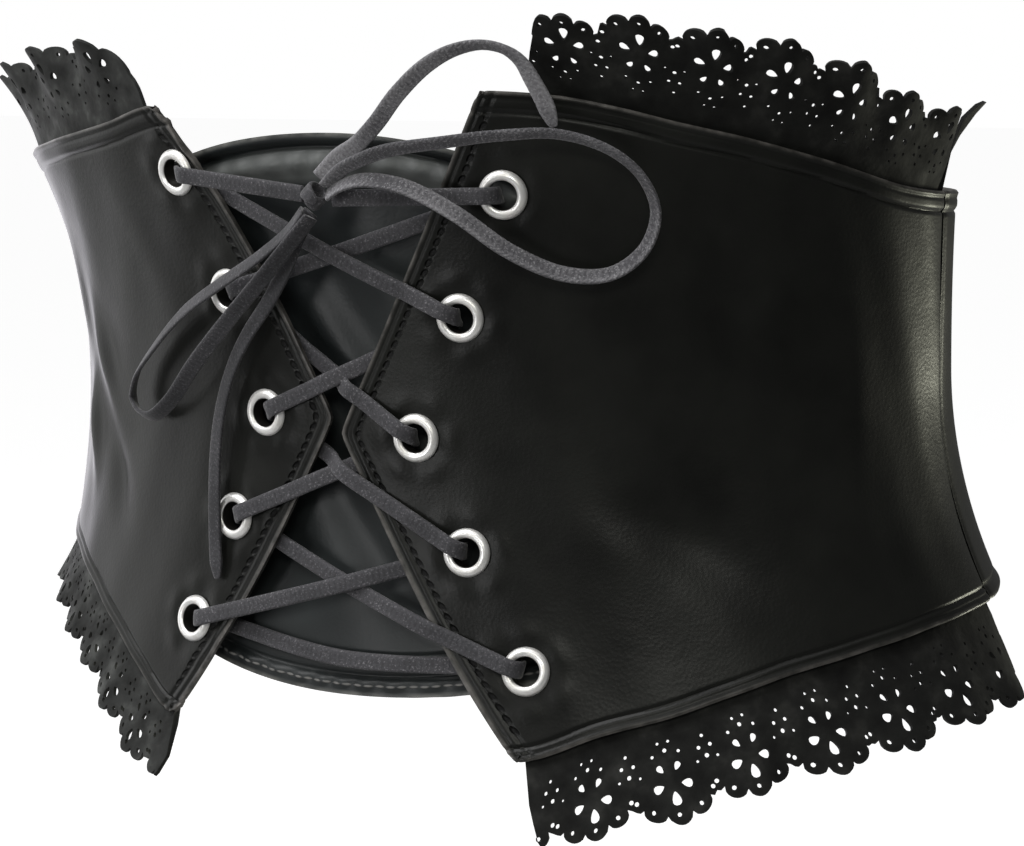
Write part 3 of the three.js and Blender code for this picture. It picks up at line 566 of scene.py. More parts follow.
# Trim: a thin matt strip tucked and sewn behind each panel's edge, then flaring out in scallops. Each
# scallop is edged with five small lobes and pierced with a flower of petals and with pinholes. Its
# heights, rounded corners and flare run from the lacing to the side seam.
TRIM_WALL = 0.001
TRIM_HEIGHT = 0.023
TRIM_TUCK = 0.005
TRIM_SCALLOP = 0.23
TRIM_GRID = 0.0011
TRIM_END = 0.03
TRIM_END_HEIGHT = 0.7
TRIM_KEYS = ("start", "pitch", "lead", "heights", "rounded", "slant", "flare", "wave")
TRIMS = {
    (1, 1): (0.053, 0.0163, 0.0, (0.72, 1.02, 0.76), (0.003, 0.004), 0.0, (18, 18), 0.0018),
    (1, -1): (0.043, 0.019, 0.3, (0.8, 0.88, 0.9), (0.002, 0.016), -0.0012, (6, 4), 0.0012),
    (-1, 1): (0.046, 0.0245, 0.0, (0.78, 0.92, 0.74), (0.015, 0.004), 0.0, (-2, -16), 0.0034),
    (-1, -1): (0.039, 0.0165, 0.45, (0.64, 0.64, 0.66), (0.0012, 0.004), 0.0045, (14, 14), 0.0016),
}
TRIM_UNEVEN = 0.025
TRIM_CURL = 0.0008
TORN_TRIM = (1, 1)
TORN_END = [(0.0, 0.42), (0.0022, 0.60), (0.0052, 0.83), (0.0086, 0.96), (0.0048, 0.92), (0.0016, 0.78)]
LOBES = 5
LOBE_STEPS = 9
LOBE_RISE = 0.0018
LOBE_GAP = 0.0003
PETAL_SIZES = [1.15, 1.0, 0.75, 0.75, 1.0]
PETAL_LONG = 0.00125
PETAL_SHORT = 0.00085
PETAL_RING = 0.0033
PETAL_POINT = 0.45
PETAL_SIDES = 14
FLOWER_HEIGHT = 0.62
FLOWER_TALL = 0.017
PINHOLE = 0.00045
PINHOLE_SIDES = 8
LOBE_PINHOLE = 1.15
HOLE_MARGINS = (0.0007, 0.0009, 0.001)
SPRIG = [
    (0.5, 0.31, 1.1),
    (0.43, 0.23, 0.8),
    (0.57, 0.23, 0.8),
    (0.33, 0.35, 0.9),
    (0.67, 0.35, 0.9),
    (0.0, 0.5, 1.15),
    (-0.075, 0.4, 1.0),
    (0.075, 0.4, 1.0),
    (0.0, 0.29, 0.9),
    (0.13, 0.53, 0.75),
    (-0.13, 0.53, 0.75),
]


def ring_of(middle, long, short, angle, sides, point=0.0):
    """An oval ring round a middle, long along the angle, and drawn to a point at its near end."""
    around = (np.arange(sides) + 0.5) / sides * 2 * math.pi
    along = long * np.cos(around)
    across = short * np.sin(around) * (1 + point * np.cos(around))
    x = middle[0] + along * math.cos(angle) - across * math.sin(angle)
    return np.stack([x, middle[1] + along * math.sin(angle) + across * math.cos(angle)], 1)


def scallop_edge(start, pitch, tall):
    """Free edge of one scallop, lobe by lobe from its left valley, and the middle of each lobe."""
    theta = np.arange(LOBES * LOBE_STEPS) / (LOBES * LOBE_STEPS) * math.pi
    drop = TRIM_SCALLOP * tall
    lobe = LOBE_RISE * np.abs(np.sin(LOBES * theta)) ** 0.55
    arch = np.stack([
        start + pitch / 2 - (pitch / 2) * np.cos(theta),
        tall - drop + drop * np.sin(theta) - LOBE_RISE * 0.6,
    ], 1)
    normal = np.stack([-np.cos(theta) * drop, np.sin(theta) * pitch / 2], 1)
    normal /= np.linalg.norm(normal, axis=1, keepdims=True)
    edge = arch + normal * lobe[:, None]
    lobes = np.arange(LOBES) * LOBE_STEPS + LOBE_STEPS // 2
    edge = edge[(edge[:, 0] > start + LOBE_GAP) & (edge[:, 0] < start + pitch - LOBE_GAP)]
    valley = (start, edge[0, 1] - LOBE_GAP)
    return np.vstack([valley, edge]), arch[lobes] - normal[lobes] * 0.0001


def scallop_holes(start, pitch, tall, lobe_middles):
    middle = (start + pitch / 2, tall * FLOWER_HEIGHT)
    scale = min(1, tall / FLOWER_TALL)
    rings = []
    for petal, size in enumerate(PETAL_SIZES):
        angle = petal / len(PETAL_SIZES) * 2 * math.pi + math.pi / 2
        out = scale * PETAL_RING
        spot = (middle[0] + out * math.cos(angle), middle[1] + out * math.sin(angle))
        long, short = PETAL_LONG * size * scale, PETAL_SHORT * size * scale
        rings.append(ring_of(spot, long, short, angle, PETAL_SIDES, PETAL_POINT))
    pinholes = [(spot, LOBE_PINHOLE) for spot in lobe_middles]
    pinholes += [((start + across * pitch, tall * up), size) for across, up, size in SPRIG]
    for spot, size in pinholes:
        rings.append(ring_of(spot, PINHOLE * size, PINHOLE * size, 0, PINHOLE_SIDES))
    return rings


def inside(points, loops):
    """Whether points lie inside the loops, counting the edges that a line to the right crosses."""
    crossings = np.zeros(len(points), int)
    for loop in loops:
        for (x0, z0), (x1, z1) in zip(loop, np.roll(loop, -1, axis=0)):
            if z0 != z1:
                spans = (points[:, 1] < z0) != (points[:, 1] < z1)
                crossings += spans & (points[:, 0] < x0 + (points[:, 1] - z0) * (x1 - x0) / (z1 - z0))
    return crossings % 2 == 1


def end_limit(run, length, rounded):
    """Share of its full height that a trim keeps at runs, where its free corners are rounded off."""
    near = np.clip(1 - run / rounded[0], 0, 1)
    far = np.clip(1 - (length - run) / rounded[1], 0, 1)
    return np.sqrt(1 - near**2) * np.sqrt(1 - far**2)


def clear_hole(ring, cut, length, tall):
    """Whether a hole lies clear of a trim's ends and of their rounded corners."""
    first, last, free = HOLE_MARGINS
    if ring[:, 0].min() <= first + max(0, cut["slant"]) or ring[:, 0].max() >= length - last:
        return False
    limit = end_limit(ring[:, 0], length, cut["rounded"])
    return limit.min() == 1 or (ring[:, 1] < tall * limit - free).all()


def trim_outline(cut, length, torn):
    """Outline of a trim laid flat, as distances along its seam and up from it, and its holes."""
    first, middle, last = cut["heights"]
    scallops = round(length / cut["pitch"] - cut["lead"])
    pitch = length / (scallops + cut["lead"])
    free_edge = []
    holes = []
    for index in range(-1, scallops):
        start = (index + cut["lead"]) * pitch
        share = max(0, (start + pitch / 2) / length)
        level = first + (last - first) * share
        swell = (middle - (first + last) / 2) * math.sin(math.pi * share)
        tall = TRIM_HEIGHT * (level + swell + TRIM_UNEVEN * math.sin(index * 2.3))
        edge, lobes = scallop_edge(start, pitch, tall)
        free_edge.extend(edge)
        holes.extend(scallop_holes(start, pitch, tall, lobes))
    free_edge = np.array(free_edge)
    free_edge = free_edge[np.nonzero(free_edge[:, 0] <= LOBE_GAP)[0].max() + 1 :]
    first_run, last_run = (radius * TRIM_END for radius in cut["rounded"])
    free_edge = free_edge[(free_edge[:, 0] > first_run) & (free_edge[:, 0] < length - last_run)]
    free_edge[:, 1] *= end_limit(free_edge[:, 0], length, cut["rounded"])
    begin = [(first_run, free_edge[0, 1] * TRIM_END_HEIGHT)]
    end = [(length, free_edge[-1, 1] * TRIM_END_HEIGHT)]
    if torn:
        end = [(length + over, TRIM_HEIGHT * up) for over, up in TORN_END[::-1]]
    holes = [ring for ring in holes if clear_hole(ring, cut, length, tall)]
    base = np.linspace(length, first_run + cut["slant"], int(length / TRIM_GRID / 2))
    base = np.stack([base, np.full_like(base, -TRIM_TUCK)], 1)
    return np.vstack([begin, free_edge, end, base]), holes, pitch


def filled(loops, length):
    """Triangles that fill an outline round its holes, with a grid of points between them."""
    across, up = np.meshgrid(
        np.arange(TRIM_GRID, length, TRIM_GRID),
        np.arange(TRIM_GRID - TRIM_TUCK, TRIM_HEIGHT * 1.2, TRIM_GRID),
    )
    inner = np.stack([across.ravel() + (up.ravel() * 457 % 1) * TRIM_GRID * 0.3, up.ravel()], 1)
    inner = inner[inside(inner, loops)]
    edges = []
    first = 0
    for loop in loops:
        count = len(loop)
        edges += [(first + index, first + (index + 1) % count) for index in range(count)]
        first += count
    spots = [Vector(spot) for spot in np.vstack([*loops, inner])]
    flat, _, faces, *_ = delaunay_2d_cdt(spots, edges, [], 0, 1e-7)
    flat = np.array([tuple(spot) for spot in flat])
    faces = np.array(faces)
    return flat, faces[inside(flat[faces].mean(axis=1), loops)]


def trim(side, level):
    cut = dict(zip(TRIM_KEYS, TRIMS[side, level]))
    turns = np.linspace(cut["start"] / WAIST_HALF_WIDTH, SIDE_SEAM_TURN, 241)
    seam = body_point(side * turns, edge_height(side, level, turns))
    runs = np.concatenate([[0], np.cumsum(np.linalg.norm(np.diff(seam, axis=0), axis=1))])
    outline, holes, pitch = trim_outline(cut, runs[-1], (side, level) == TORN_TRIM)
    flat, faces = filled([outline, *holes], runs[-1])
    run, climb = flat[:, 0], flat[:, 1]
    turn = np.interp(run, runs, turns) + np.maximum(run - runs[-1], 0) / WAIST_HALF_DEPTH
    free = np.maximum(climb, 0)
    first_flare, last_flare = cut["flare"]
    flare = np.radians(first_flare + (last_flare - first_flare) * np.clip(run / runs[-1], 0, 1))
    wave = -cut["wave"] * (free / TRIM_HEIGHT) ** 2 * np.cos(2 * math.pi * (run / pitch - cut["lead"]))
    curl = TRIM_CURL * (free / TRIM_HEIGHT) ** 3 * np.sin(run * 173 + side)
    out = -PANEL_WALL - GAP + free * np.sin(flare) + wave + curl
    lift = np.where(climb < 0, climb, free * np.cos(flare))
    points = body_point(side * turn, edge_height(side, level, turn) + level * lift, out)
    word = ("top" if level > 0 else "bottom") + ("_right" if side > 0 else "_left")
    mesh = bpy.data.meshes.new(word + "_pierced_trim")
    mesh.from_pydata(points.tolist(), [], faces.tolist())
    piece = bpy.data.objects.new(mesh.name, mesh)
    bpy.context.scene.collection.objects.link(piece)
    if side * level < 0:
        mesh.flip_normals()
    apply_modifier(piece, "SOLIDIFY", thickness=TRIM_WALL, offset=-1)
    smooth_by_angle(piece, 45)
    piece.data.materials.append(trim_plain_and_painted_lit[side])
    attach(piece, "root")
    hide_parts("trim_" + word)


def trim_material(name, dark, middle, light):
    """Matt black, with a mottled, slightly dusty face."""
    material, tree, shader = new_material(name, dark, 0.82)
    place = object_place(tree)
    mottle = noise(tree, place, 160.0, 4.0)
    tone = colour_ramp(tree, mottle, (0.3, dark), (0.55, middle), (0.8, light))
    tree.links.new(tone, shader.inputs["Base Color"])
    tree.links.new(ranged(tree, mottle, 0.3, 0.7, 0.9, 0.68), shader.inputs["Roughness"])
    shader.inputs["Specular IOR Level"].default_value = 0.2
    shader.inputs["Sheen Weight"].default_value = 0.05
    bumped(tree, shader, (noise(tree, place, 900.0, 3.0), 0.00008), (noise(tree, place, 220.0, 2.0), 0.0002))
    return material


trim_plain_and_painted_lit = {
    1: trim_material(
        "matt_black_trim",
        dark=(0.003, 0.003, 0.0028),
        middle=(0.0075, 0.0078, 0.0069),
        light=(0.027, 0.027, 0.0245),
    ),
    # Painted light: the left trims face the lights, and this copy paints them lighter. The right trims keep
    # the plain black.
    -1: trim_material(
        "painted_lit_black_trim",
        dark=(0.009, 0.0092, 0.0088),
        middle=(0.026, 0.027, 0.026),
        light=(0.075, 0.078, 0.074),
    ),
}
for trim_side, trim_level in TRIMS:
    trim(trim_side, trim_level)

# Modesty panel: a softer, bluish black faux leather behind the lacing, with a rolled and puffed band
# at its top edge, a hem stitched in grey thread at its bottom edge, and soft slanting folds between
MODESTY_WALL = 0.0015
MODESTY_ABOVE = 0.070
MODESTY_BELOW = 0.062
MODESTY_REACH = 0.060
MODESTY_TOP_FALL = 0.013
MODESTY_BOTTOM_FALL = 0.010
MODESTY_BAND_RISE = 0.0007
MODESTY_STITCH = 0.0024
MODESTY_CELLS = (150, 150)
MODESTY_ROWS = [(0, 0.25, 0.75, 1), (0, 0.09, 0.91, 1)]
MODESTY_EASE = (0.002, 0.012)
MODESTY_TOP_RIDGES = [(0.0012, 0.0011, 0.0006), (0.0030, 0.0007, -0.0012)]
MODESTY_BOTTOM_RIDGES = [(0.0045, 0.0006, -0.0007), (0.0068, 0.0018, 0.0004), (0.009, 0.0008, -0.0006)]
MODESTY_TOP_PUFF = (0.0072, 0.0026, 0.0016, 0.0004)
MODESTY_BOTTOM_PUFF = (0.0027, 0.0014, 0.0006, 0.0003)
MODESTY_STEPS = [(0.0025, 0.001, -0.0011), (0.0115, 0.012, 0.0007)]
MODESTY_PUCKER = 0.00105
MODESTY_FOLDS = 0.0014
MODESTY_SLACK = 0.0005
MODESTY_FOLD_FADE = 0.03
MODESTY_SIDE_FADE = 0.01
CORD_WIDTH = 0.004
CORD_THICK = 0.0011


def modesty_edges(reach):
    away = (reach / MODESTY_REACH) ** 2
    return MODESTY_ABOVE - MODESTY_TOP_FALL * away, -MODESTY_BELOW + MODESTY_BOTTOM_FALL * away


def modesty_relief(reach, height, from_top, from_bottom):
    """Bands, puckers, grooves and folds, as far as they stand out of the deepest clear face."""
    pucker = np.sin(reach / MODESTY_PUCKER + 1.4 * np.sin(reach * 160))
    relief = np.zeros_like(reach)
    for away, ridges, puff in (
        (from_top, MODESTY_TOP_RIDGES, MODESTY_TOP_PUFF),
        (from_bottom, MODESTY_BOTTOM_RIDGES, MODESTY_BOTTOM_PUFF),
    ):
        for inset, width, rise in ridges:
            relief = relief + rise * bump(away - inset, width)
        inset, width, rise, puckered = puff
        relief = relief + (rise + puckered * pucker) * bump(away - inset, width)
    for inset, run, rise in MODESTY_STEPS:
        relief = relief + rise * np.clip((from_top - inset) / run, 0, 1)
    middle = np.clip(np.minimum(from_top, from_bottom) / MODESTY_FOLD_FADE, 0, 1)
    folds = 0.5 + 0.5 * np.sin(reach * 260 + height * 190 + 1.6 * np.sin(height * 60 + reach * 50) + 0.6)
    relief = relief - MODESTY_FOLDS * middle * folds - MODESTY_SLACK * middle
    inner = np.clip((MODESTY_REACH - np.abs(reach)) / MODESTY_SIDE_FADE, 0, 1)
    return np.minimum(relief, MODESTY_BAND_RISE) * inner


def modesty_panel():
    piece = grid_cells(MODESTY_CELLS)
    piece.name = "modesty_leather"

    def place(across, up):
        reach = MODESTY_REACH * (2 * across - 1)
        top, bottom = modesty_edges(reach)
        height = bottom + (top - bottom) * np.interp(up, *MODESTY_ROWS)
        ease = np.clip((MODESTY_REACH - np.abs(reach) - MODESTY_EASE[0]) / MODESTY_EASE[1], 0, 1)
        room = EYELET_SEAT + EYELET_BARREL_WALL + CORD_THICK + 4 * GAP
        depth = PANEL_WALL + 1.4 * GAP + room * ease * ease * (3 - 2 * ease) + MODESTY_BAND_RISE
        relief = modesty_relief(reach, height, top - height, height - bottom)
        return body_point(reach / WAIST_HALF_WIDTH, height, relief - depth)

    lay_grid(piece, place)
    apply_modifier(piece, "SOLIDIFY", thickness=MODESTY_WALL, offset=-1)
    turn, height = body_place(vertex_points(piece.data))
    top, bottom = modesty_edges(turn * WAIST_HALF_WIDTH)
    stitches = height - bottom + STITCH_INSET - MODESTY_STITCH
    mark_seams(piece, turn * WAIST_HALF_WIDTH, stitches, np.minimum(top - height, height - bottom))
    smooth_by_angle(piece, 60)
    piece.data.materials.append(
        leather_material(
            "blue_black_leather",
            dark=(0.011, 0.013, 0.0138),
            light=(0.024, 0.028, 0.0285),
            # edge band colour: wear and painted highlight
            wear_and_painted_light=(0.13, 0.13, 0.122),
            thread=(0.17, 0.166, 0.16),
            gloss=0.32,
            roughness=0.4,
            stitches=(0.00034, 0.0002, 0.0),
            # a painted highlight on the top band
            painted_band_highlight=(0.004, 0.0112, 0.02, (0.11, 0.116, 0.114)),
        )
    )
    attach(piece, "root")
    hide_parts("modesty_panel")


modesty_panel()

# Eyelets: bright nickel rings pressed through the leather, domed outside, with a barrel through the
# panel and its end rolled over behind. One is modelled and copied to each hole.
EYELET_SIDES = 56


def eyelet_shape():
    behind = -PANEL_WALL - EYELET_SEAT
    top = EYELET_SEAT + EYELET_RIM_RISE
    barrel = EYELET_HOLE + EYELET_BARREL_WALL
    profile = [
        (barrel, behind),
        (barrel + 0.0006, behind - 0.0001),
        (barrel + 0.0007, behind - 0.0004),
        (barrel + 0.0003, behind - 0.0006),
        (EYELET_HOLE, behind - 0.0005),
        (EYELET_HOLE, top - 0.0005),
        (EYELET_HOLE + 0.0001, top - 0.0002),
        (EYELET_HOLE + 0.0004, top),
        (EYELET_HOLE + 0.0009, top + 0.0002),
        (EYELET_HOLE + 0.0014, top + 0.0001),
        (EYELET_RIM - 0.0004, top - 0.0003),
        (EYELET_RIM - 0.0001, top - 0.0007),
        (EYELET_RIM, EYELET_SEAT - 0.0003),
        (EYELET_RIM - 0.0003, EYELET_SEAT - 0.0003),
        (barrel, EYELET_SEAT),
    ]
    bpy.ops.object.select_all(action="DESELECT")
    radius, height = profile[0]
    bpy.ops.mesh.primitive_circle_add(vertices=EYELET_SIDES, radius=radius, location=(0, 0, 0))
    piece = bpy.context.object
    bpy.ops.object.mode_set(mode="EDIT")
    bpy.ops.mesh.select_all(action="SELECT")
    bpy.ops.transform.translate(value=(0, 0, height))
    for next_radius, next_height in [*profile[1:], profile[0]]:
        bpy.ops.mesh.extrude_edges_move()
        bpy.ops.transform.translate(value=(0, 0, next_height - height))
        scale = next_radius / radius
        bpy.ops.transform.resize(value=(scale, scale, 1), center_override=(0, 0, next_height))
        radius, height = next_radius, next_height
    bpy.ops.mesh.select_all(action="SELECT")
    bpy.ops.mesh.remove_doubles(threshold=1e-6)
    bpy.ops.mesh.normals_make_consistent(inside=False)
    bpy.ops.object.mode_set(mode="OBJECT")
    points = vertex_points(piece.data)
    # Marks the bore, which the nickel paints dark as painted shade.
    bore = (np.hypot(points[:, 0], points[:, 1]) < EYELET_HOLE + 0.00015) & (points[:, 2] < top - 0.0004)
    piece.data.attributes.new("bore", "FLOAT", "POINT").data.foreach_set("value", bore.astype(np.float32))
    smooth_by_angle(piece, 60)
    return piece


def nickel_material():
    """Satin nickel, slightly cloudy, with painted shade making it dark inside the bore."""
    material, tree, shader = new_material("bright_nickel", (0.9, 0.89, 0.86), 0.36)
    place = object_place(tree)
    cloud = noise(tree, place, 350.0, 3.0)
    tone = colour_ramp(tree, cloud, (0.3, (0.82, 0.8, 0.77)), (0.6, (0.98, 0.975, 0.96)))
    # Painted shade: the bore is painted near black.
    bore = mesh_attribute(tree, "bore", "Fac")
    tone = mixed_colour(tree, bore, tone, (0.04, 0.038, 0.035, 1))
    tree.links.new(tone, shader.inputs["Base Color"])
    tree.links.new(ranged(tree, cloud, 0.3, 0.7, 0.46, 0.3), shader.inputs["Roughness"])
    shader.inputs["Metallic"].default_value = 0.7
    bumped(tree, shader, (noise(tree, place, 700.0, 2.0), 0.00004))
    return material


def eyelets():
    model = eyelet_shape()
    model.data.materials.append(nickel_material())
    for side, word in ((1, "right"), (-1, "left")):
        for row, spot in enumerate(eyelet_spots(side), start=1):
            piece = bpy.data.objects.new(f"nickel_eyelet_{word}_{row}", model.data.copy())
            bpy.context.scene.collection.objects.link(piece)
            piece.data.transform(eyelet_matrix(spot))
            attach(piece, "root")
            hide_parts(f"eyelet_{word}_{row}")
    bpy.data.objects.remove(model)


eyelets()

# Lacing: one flat braided cord, 4 mm wide, from the bow's knot down through every eyelet in two
# zigzags that cross between the rows, joined behind the panels from the last eyelet to the other
CORD_STEP = 0.00034
CORD_SIDES = 20
CORD_SQUARENESS = (0.55, 0.75)
BRAID_COLUMNS = 4
BRAID_PITCH = 0.0014
BRAID_SLANT = 1.1
BRAID_BACK_SHIFT = 0.25
BRAID_RIDGE_PAINTED_HIGHLIGHT = 0.28
BRAID_DEPTH = 0.00005
TAPER = 0.004
TAPER_END = 0.35
KNOT = Vector((0.0006, -0.0853, 0.0560))
KNOT_WIDTH = 0.0034
KNOT_START = 0.0021
KNOT_SPLIT = 0.0004
OVER = GAP + CORD_THICK / 2
RIM = EYELET_SEAT + EYELET_RIM_RISE + 1.6 * GAP + CORD_THICK / 2
UNDER = -PANEL_WALL - OVER
BEHIND = -PANEL_WALL - EYELET_SEAT - EYELET_BARREL_WALL - 1.3 * GAP - CORD_THICK / 2
PRESSED = 0.0009
JOIN_SAG = 0.003
LEAVING = [("leave", -0.002, UNDER), ("leave", 0.0026, UNDER + 0.0002)]
ENTERED = ("enter", 0.002, OVER)
STRANDS = {
    "upper": [*LEAVING, ("meet", 0.0, 0.0006), ("enter", -0.0026, OVER + 0.0002), ENTERED],
    "lower": [*LEAVING, ("meet", 0.0, UNDER + 0.0008), ("enter", -0.0028, OVER + 0.0001), ENTERED],
}
INTO_EYELET = [
    (EYELET_RIM + 0.0015, RIM - 0.0002),
    (EYELET_HOLE + 0.0006, RIM + 0.0002),
    (EYELET_HOLE - 0.0016, RIM - 0.0008),
]
OUT_OF_EYELET = [
    (EYELET_HOLE - 0.0018, BEHIND + 0.0003),
    (EYELET_HOLE + 0.0006, BEHIND - 0.0002),
]


def smooth_route(points, faces):
    """A centripetal curve through points, stepped evenly, with the ways of its flat face along it."""
    points = np.asarray(points, float)
    faces = np.asarray(faces, float)
    ends = np.vstack([2 * points[0] - points[1], points, 2 * points[-1] - points[-2]])
    route = []
    looks = []
    for index in range(1, len(ends) - 2):
        a, b, c, d = ends[index - 1 : index + 3]
        spans = [np.linalg.norm(far - near) for near, far in ((a, b), (b, c), (c, d))]
        knots = np.cumsum([0] + [span**0.5 for span in spans])
        count = max(4, int(np.linalg.norm(c - b) / CORD_STEP * 2))
        t = np.linspace(knots[1], knots[2], count, endpoint=False)[:, None]

        def mix(near, far, start, stop):
            return ((stop - t) * near + (t - start) * far) / (stop - start)

        one = mix(mix(a, b, knots[0], knots[1]), mix(b, c, knots[1], knots[2]), knots[0], knots[2])
        two = mix(mix(b, c, knots[1], knots[2]), mix(c, d, knots[2], knots[3]), knots[1], knots[3])
        route.append(mix(one, two, knots[1], knots[2]))
        share = (t - knots[1]) / (knots[2] - knots[1])
        looks.append(faces[index - 1] * (1 - share) + faces[index] * share)
    route = np.vstack([*route, points[-1:]])
    looks = np.vstack([*looks, faces[-1:]])
    run = np.concatenate([[0], np.cumsum(np.linalg.norm(np.diff(route, axis=0), axis=1))])
    even = np.linspace(0, run[-1], int(run[-1] / CORD_STEP) + 1)
    route, looks = (
        np.stack([np.interp(even, run, values[:, axis]) for axis in range(3)], 1)
        for values in (route, looks)
    )
    kernel = np.hanning(9) / np.hanning(9).sum()
    padded = np.vstack([looks[:1]] * 4 + [looks] + [looks[-1:]] * 4)
    return even, route, np.stack([np.convolve(padded[:, axis], kernel, "valid") for axis in range(3)], 1)


def flat_cord(name, points, faces, tapered=(), painted_lightness=0.0):
    """A flat braided cord along points as one closed tube, with rows of ridges that slant by turns.

    tapered names the ends that narrow, and the last argument is painted light or shade that makes the whole
    cord lighter or darker.
    """
    run, route, looks = smooth_route(points, faces)
    tangent = np.gradient(route, axis=0)
    tangent /= np.linalg.norm(tangent, axis=1, keepdims=True)
    across = np.cross(tangent, looks)
    across /= np.linalg.norm(across, axis=1, keepdims=True)
    normal = np.cross(across, tangent)
    angle = np.arange(CORD_SIDES) / CORD_SIDES * 2 * math.pi
    wide, deep = (
        np.sign(way) * np.abs(way) ** square
        for way, square in zip((np.cos(angle), np.sin(angle)), CORD_SQUARENESS)
    )
    column = (wide + 1) / 2 * BRAID_COLUMNS
    slant = np.where(np.floor(column) % 2 == 0, 1, -1) * (column % 1 - 0.5)
    phase = run[:, None] / BRAID_PITCH + slant * BRAID_SLANT + BRAID_BACK_SHIFT * np.sign(deep)
    ridge = np.abs(np.sin(math.pi * phase)) ** 0.6 * (0.45 + 0.55 * np.sin(math.pi * (column % 1)) ** 0.5)
    size = np.ones(len(run))
    for end, from_end in (("start", run), ("end", run[-1] - run)):
        if end in tapered:
            share = np.clip(from_end / TAPER, 0, 1) ** 0.6
            size = np.minimum(size, TAPER_END + (1 - TAPER_END) * share)
    swell = BRAID_DEPTH * (ridge - 0.6)
    x = (CORD_WIDTH / 2 * wide + swell * np.cos(angle)) * size[:, None]
    y = (CORD_THICK / 2 * deep + swell * np.sin(angle)) * size[:, None]
    rings = route[:, None] + across[:, None] * x[..., None] + normal[:, None] * y[..., None]
    corner = np.arange(len(run) * CORD_SIDES).reshape(-1, CORD_SIDES)
    beside = np.roll(corner, -1, axis=1)
    quads = np.stack([corner[:-1], corner[1:], beside[1:], beside[:-1]], -1).reshape(-1, 4)
    mesh = bpy.data.meshes.new(name)
    caps = [corner[0].tolist(), corner[-1][::-1].tolist()]
    mesh.from_pydata(rings.reshape(-1, 3).tolist(), [], quads.tolist() + caps)
    braid = mesh.attributes.new("braid", "FLOAT", "POINT")
    # Painted light: the ridges are painted lighter than the grooves, and the last argument lightens or
    # darkens the whole cord.
    braid.data.foreach_set("value", (ridge * BRAID_RIDGE_PAINTED_HIGHLIGHT + painted_lightness).ravel().astype(np.float32))
    piece = bpy.data.objects.new(name, mesh)
    bpy.context.scene.collection.objects.link(piece)
    face_outwards(mesh)
    mesh.shade_smooth()
    piece.data.materials.append(braided_cord)
    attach(piece, "root")
    return piece, route, float(run[-1])


def face_outwards(mesh):
    shaped = bmesh.new()
    shaped.from_mesh(mesh)
    bmesh.ops.recalc_face_normals(shaped, faces=shaped.faces)
    shaped.to_mesh(mesh)
    shaped.free()


def cord_material():
    """Dark violet-grey braid with light flecks and random lighter patches; its ridges carry a painted
    highlight, and each cord carries a painted light or shade of its own.
    """
    material, tree, shader = new_material("braided_cord", (0.045, 0.043, 0.048), 0.7)
    place = object_place(tree)
    ridge = mesh_attribute(tree, "braid", "Fac")
    fibre = noise(tree, place, 1400.0, 3.0)
    fleck = ranged(tree, noise(tree, place, 2300.0, 1.0), 0.56, 0.7, 0.0, 0.28)
    # Painted light from the braid attribute, plus random wear.
    wear_and_painted_light = maths(tree, "ADD", ridge, ranged(tree, noise(tree, place, 60.0, 2.0), 0.3, 0.7, 0.0, 0.22))
    mixed = maths(tree, "ADD", maths(tree, "MULTIPLY_ADD", fibre, 0.35, wear_and_painted_light), fleck)
    tone = colour_ramp(
        tree, mixed, (0.25, (0.022, 0.022, 0.025)), (0.6, (0.065, 0.063, 0.07)), (1.0, (0.27, 0.265, 0.28))
    )
    tree.links.new(tone, shader.inputs["Base Color"])
    shader.inputs["Specular IOR Level"].default_value = 0.35
    shader.inputs["Sheen Weight"].default_value = 0.25
    shader.inputs["Sheen Roughness"].default_value = 0.4
    bumped(tree, shader, (fibre, 0.00008))
    return material


def toward(start, end):
    return (end - start) / np.linalg.norm(end - start)


def edge_of(side, start, end):
    """Where a straight strand crosses the lacing edge of the panel that its start lies on."""
    shares = np.linspace(0, 1, 400)[:, None]
    spots = start + (end - start) * shares
    on_panel = side * spots[:, 0] > lacing_edge(side, spots[:, 1])
    return spots[np.nonzero(on_panel)[0].max()]


def meet_of(side, row):
    """Where the two strands between a row of eyelets and the next one cross."""
    one, other = ((eyelet_spots(way)[row], eyelet_spots(-way)[row + 1]) for way in (side, -side))
    along = one[1] - one[0]
    ways = np.array([along, other[0] - other[1]]).T
    return one[0] + along * np.linalg.solve(ways, other[0] - one[0])[0]


def join_spot():
    middle = (eyelet_spots(1)[-1] + eyelet_spots(-1)[-1]) / 2
    return middle - (0, JOIN_SAG)


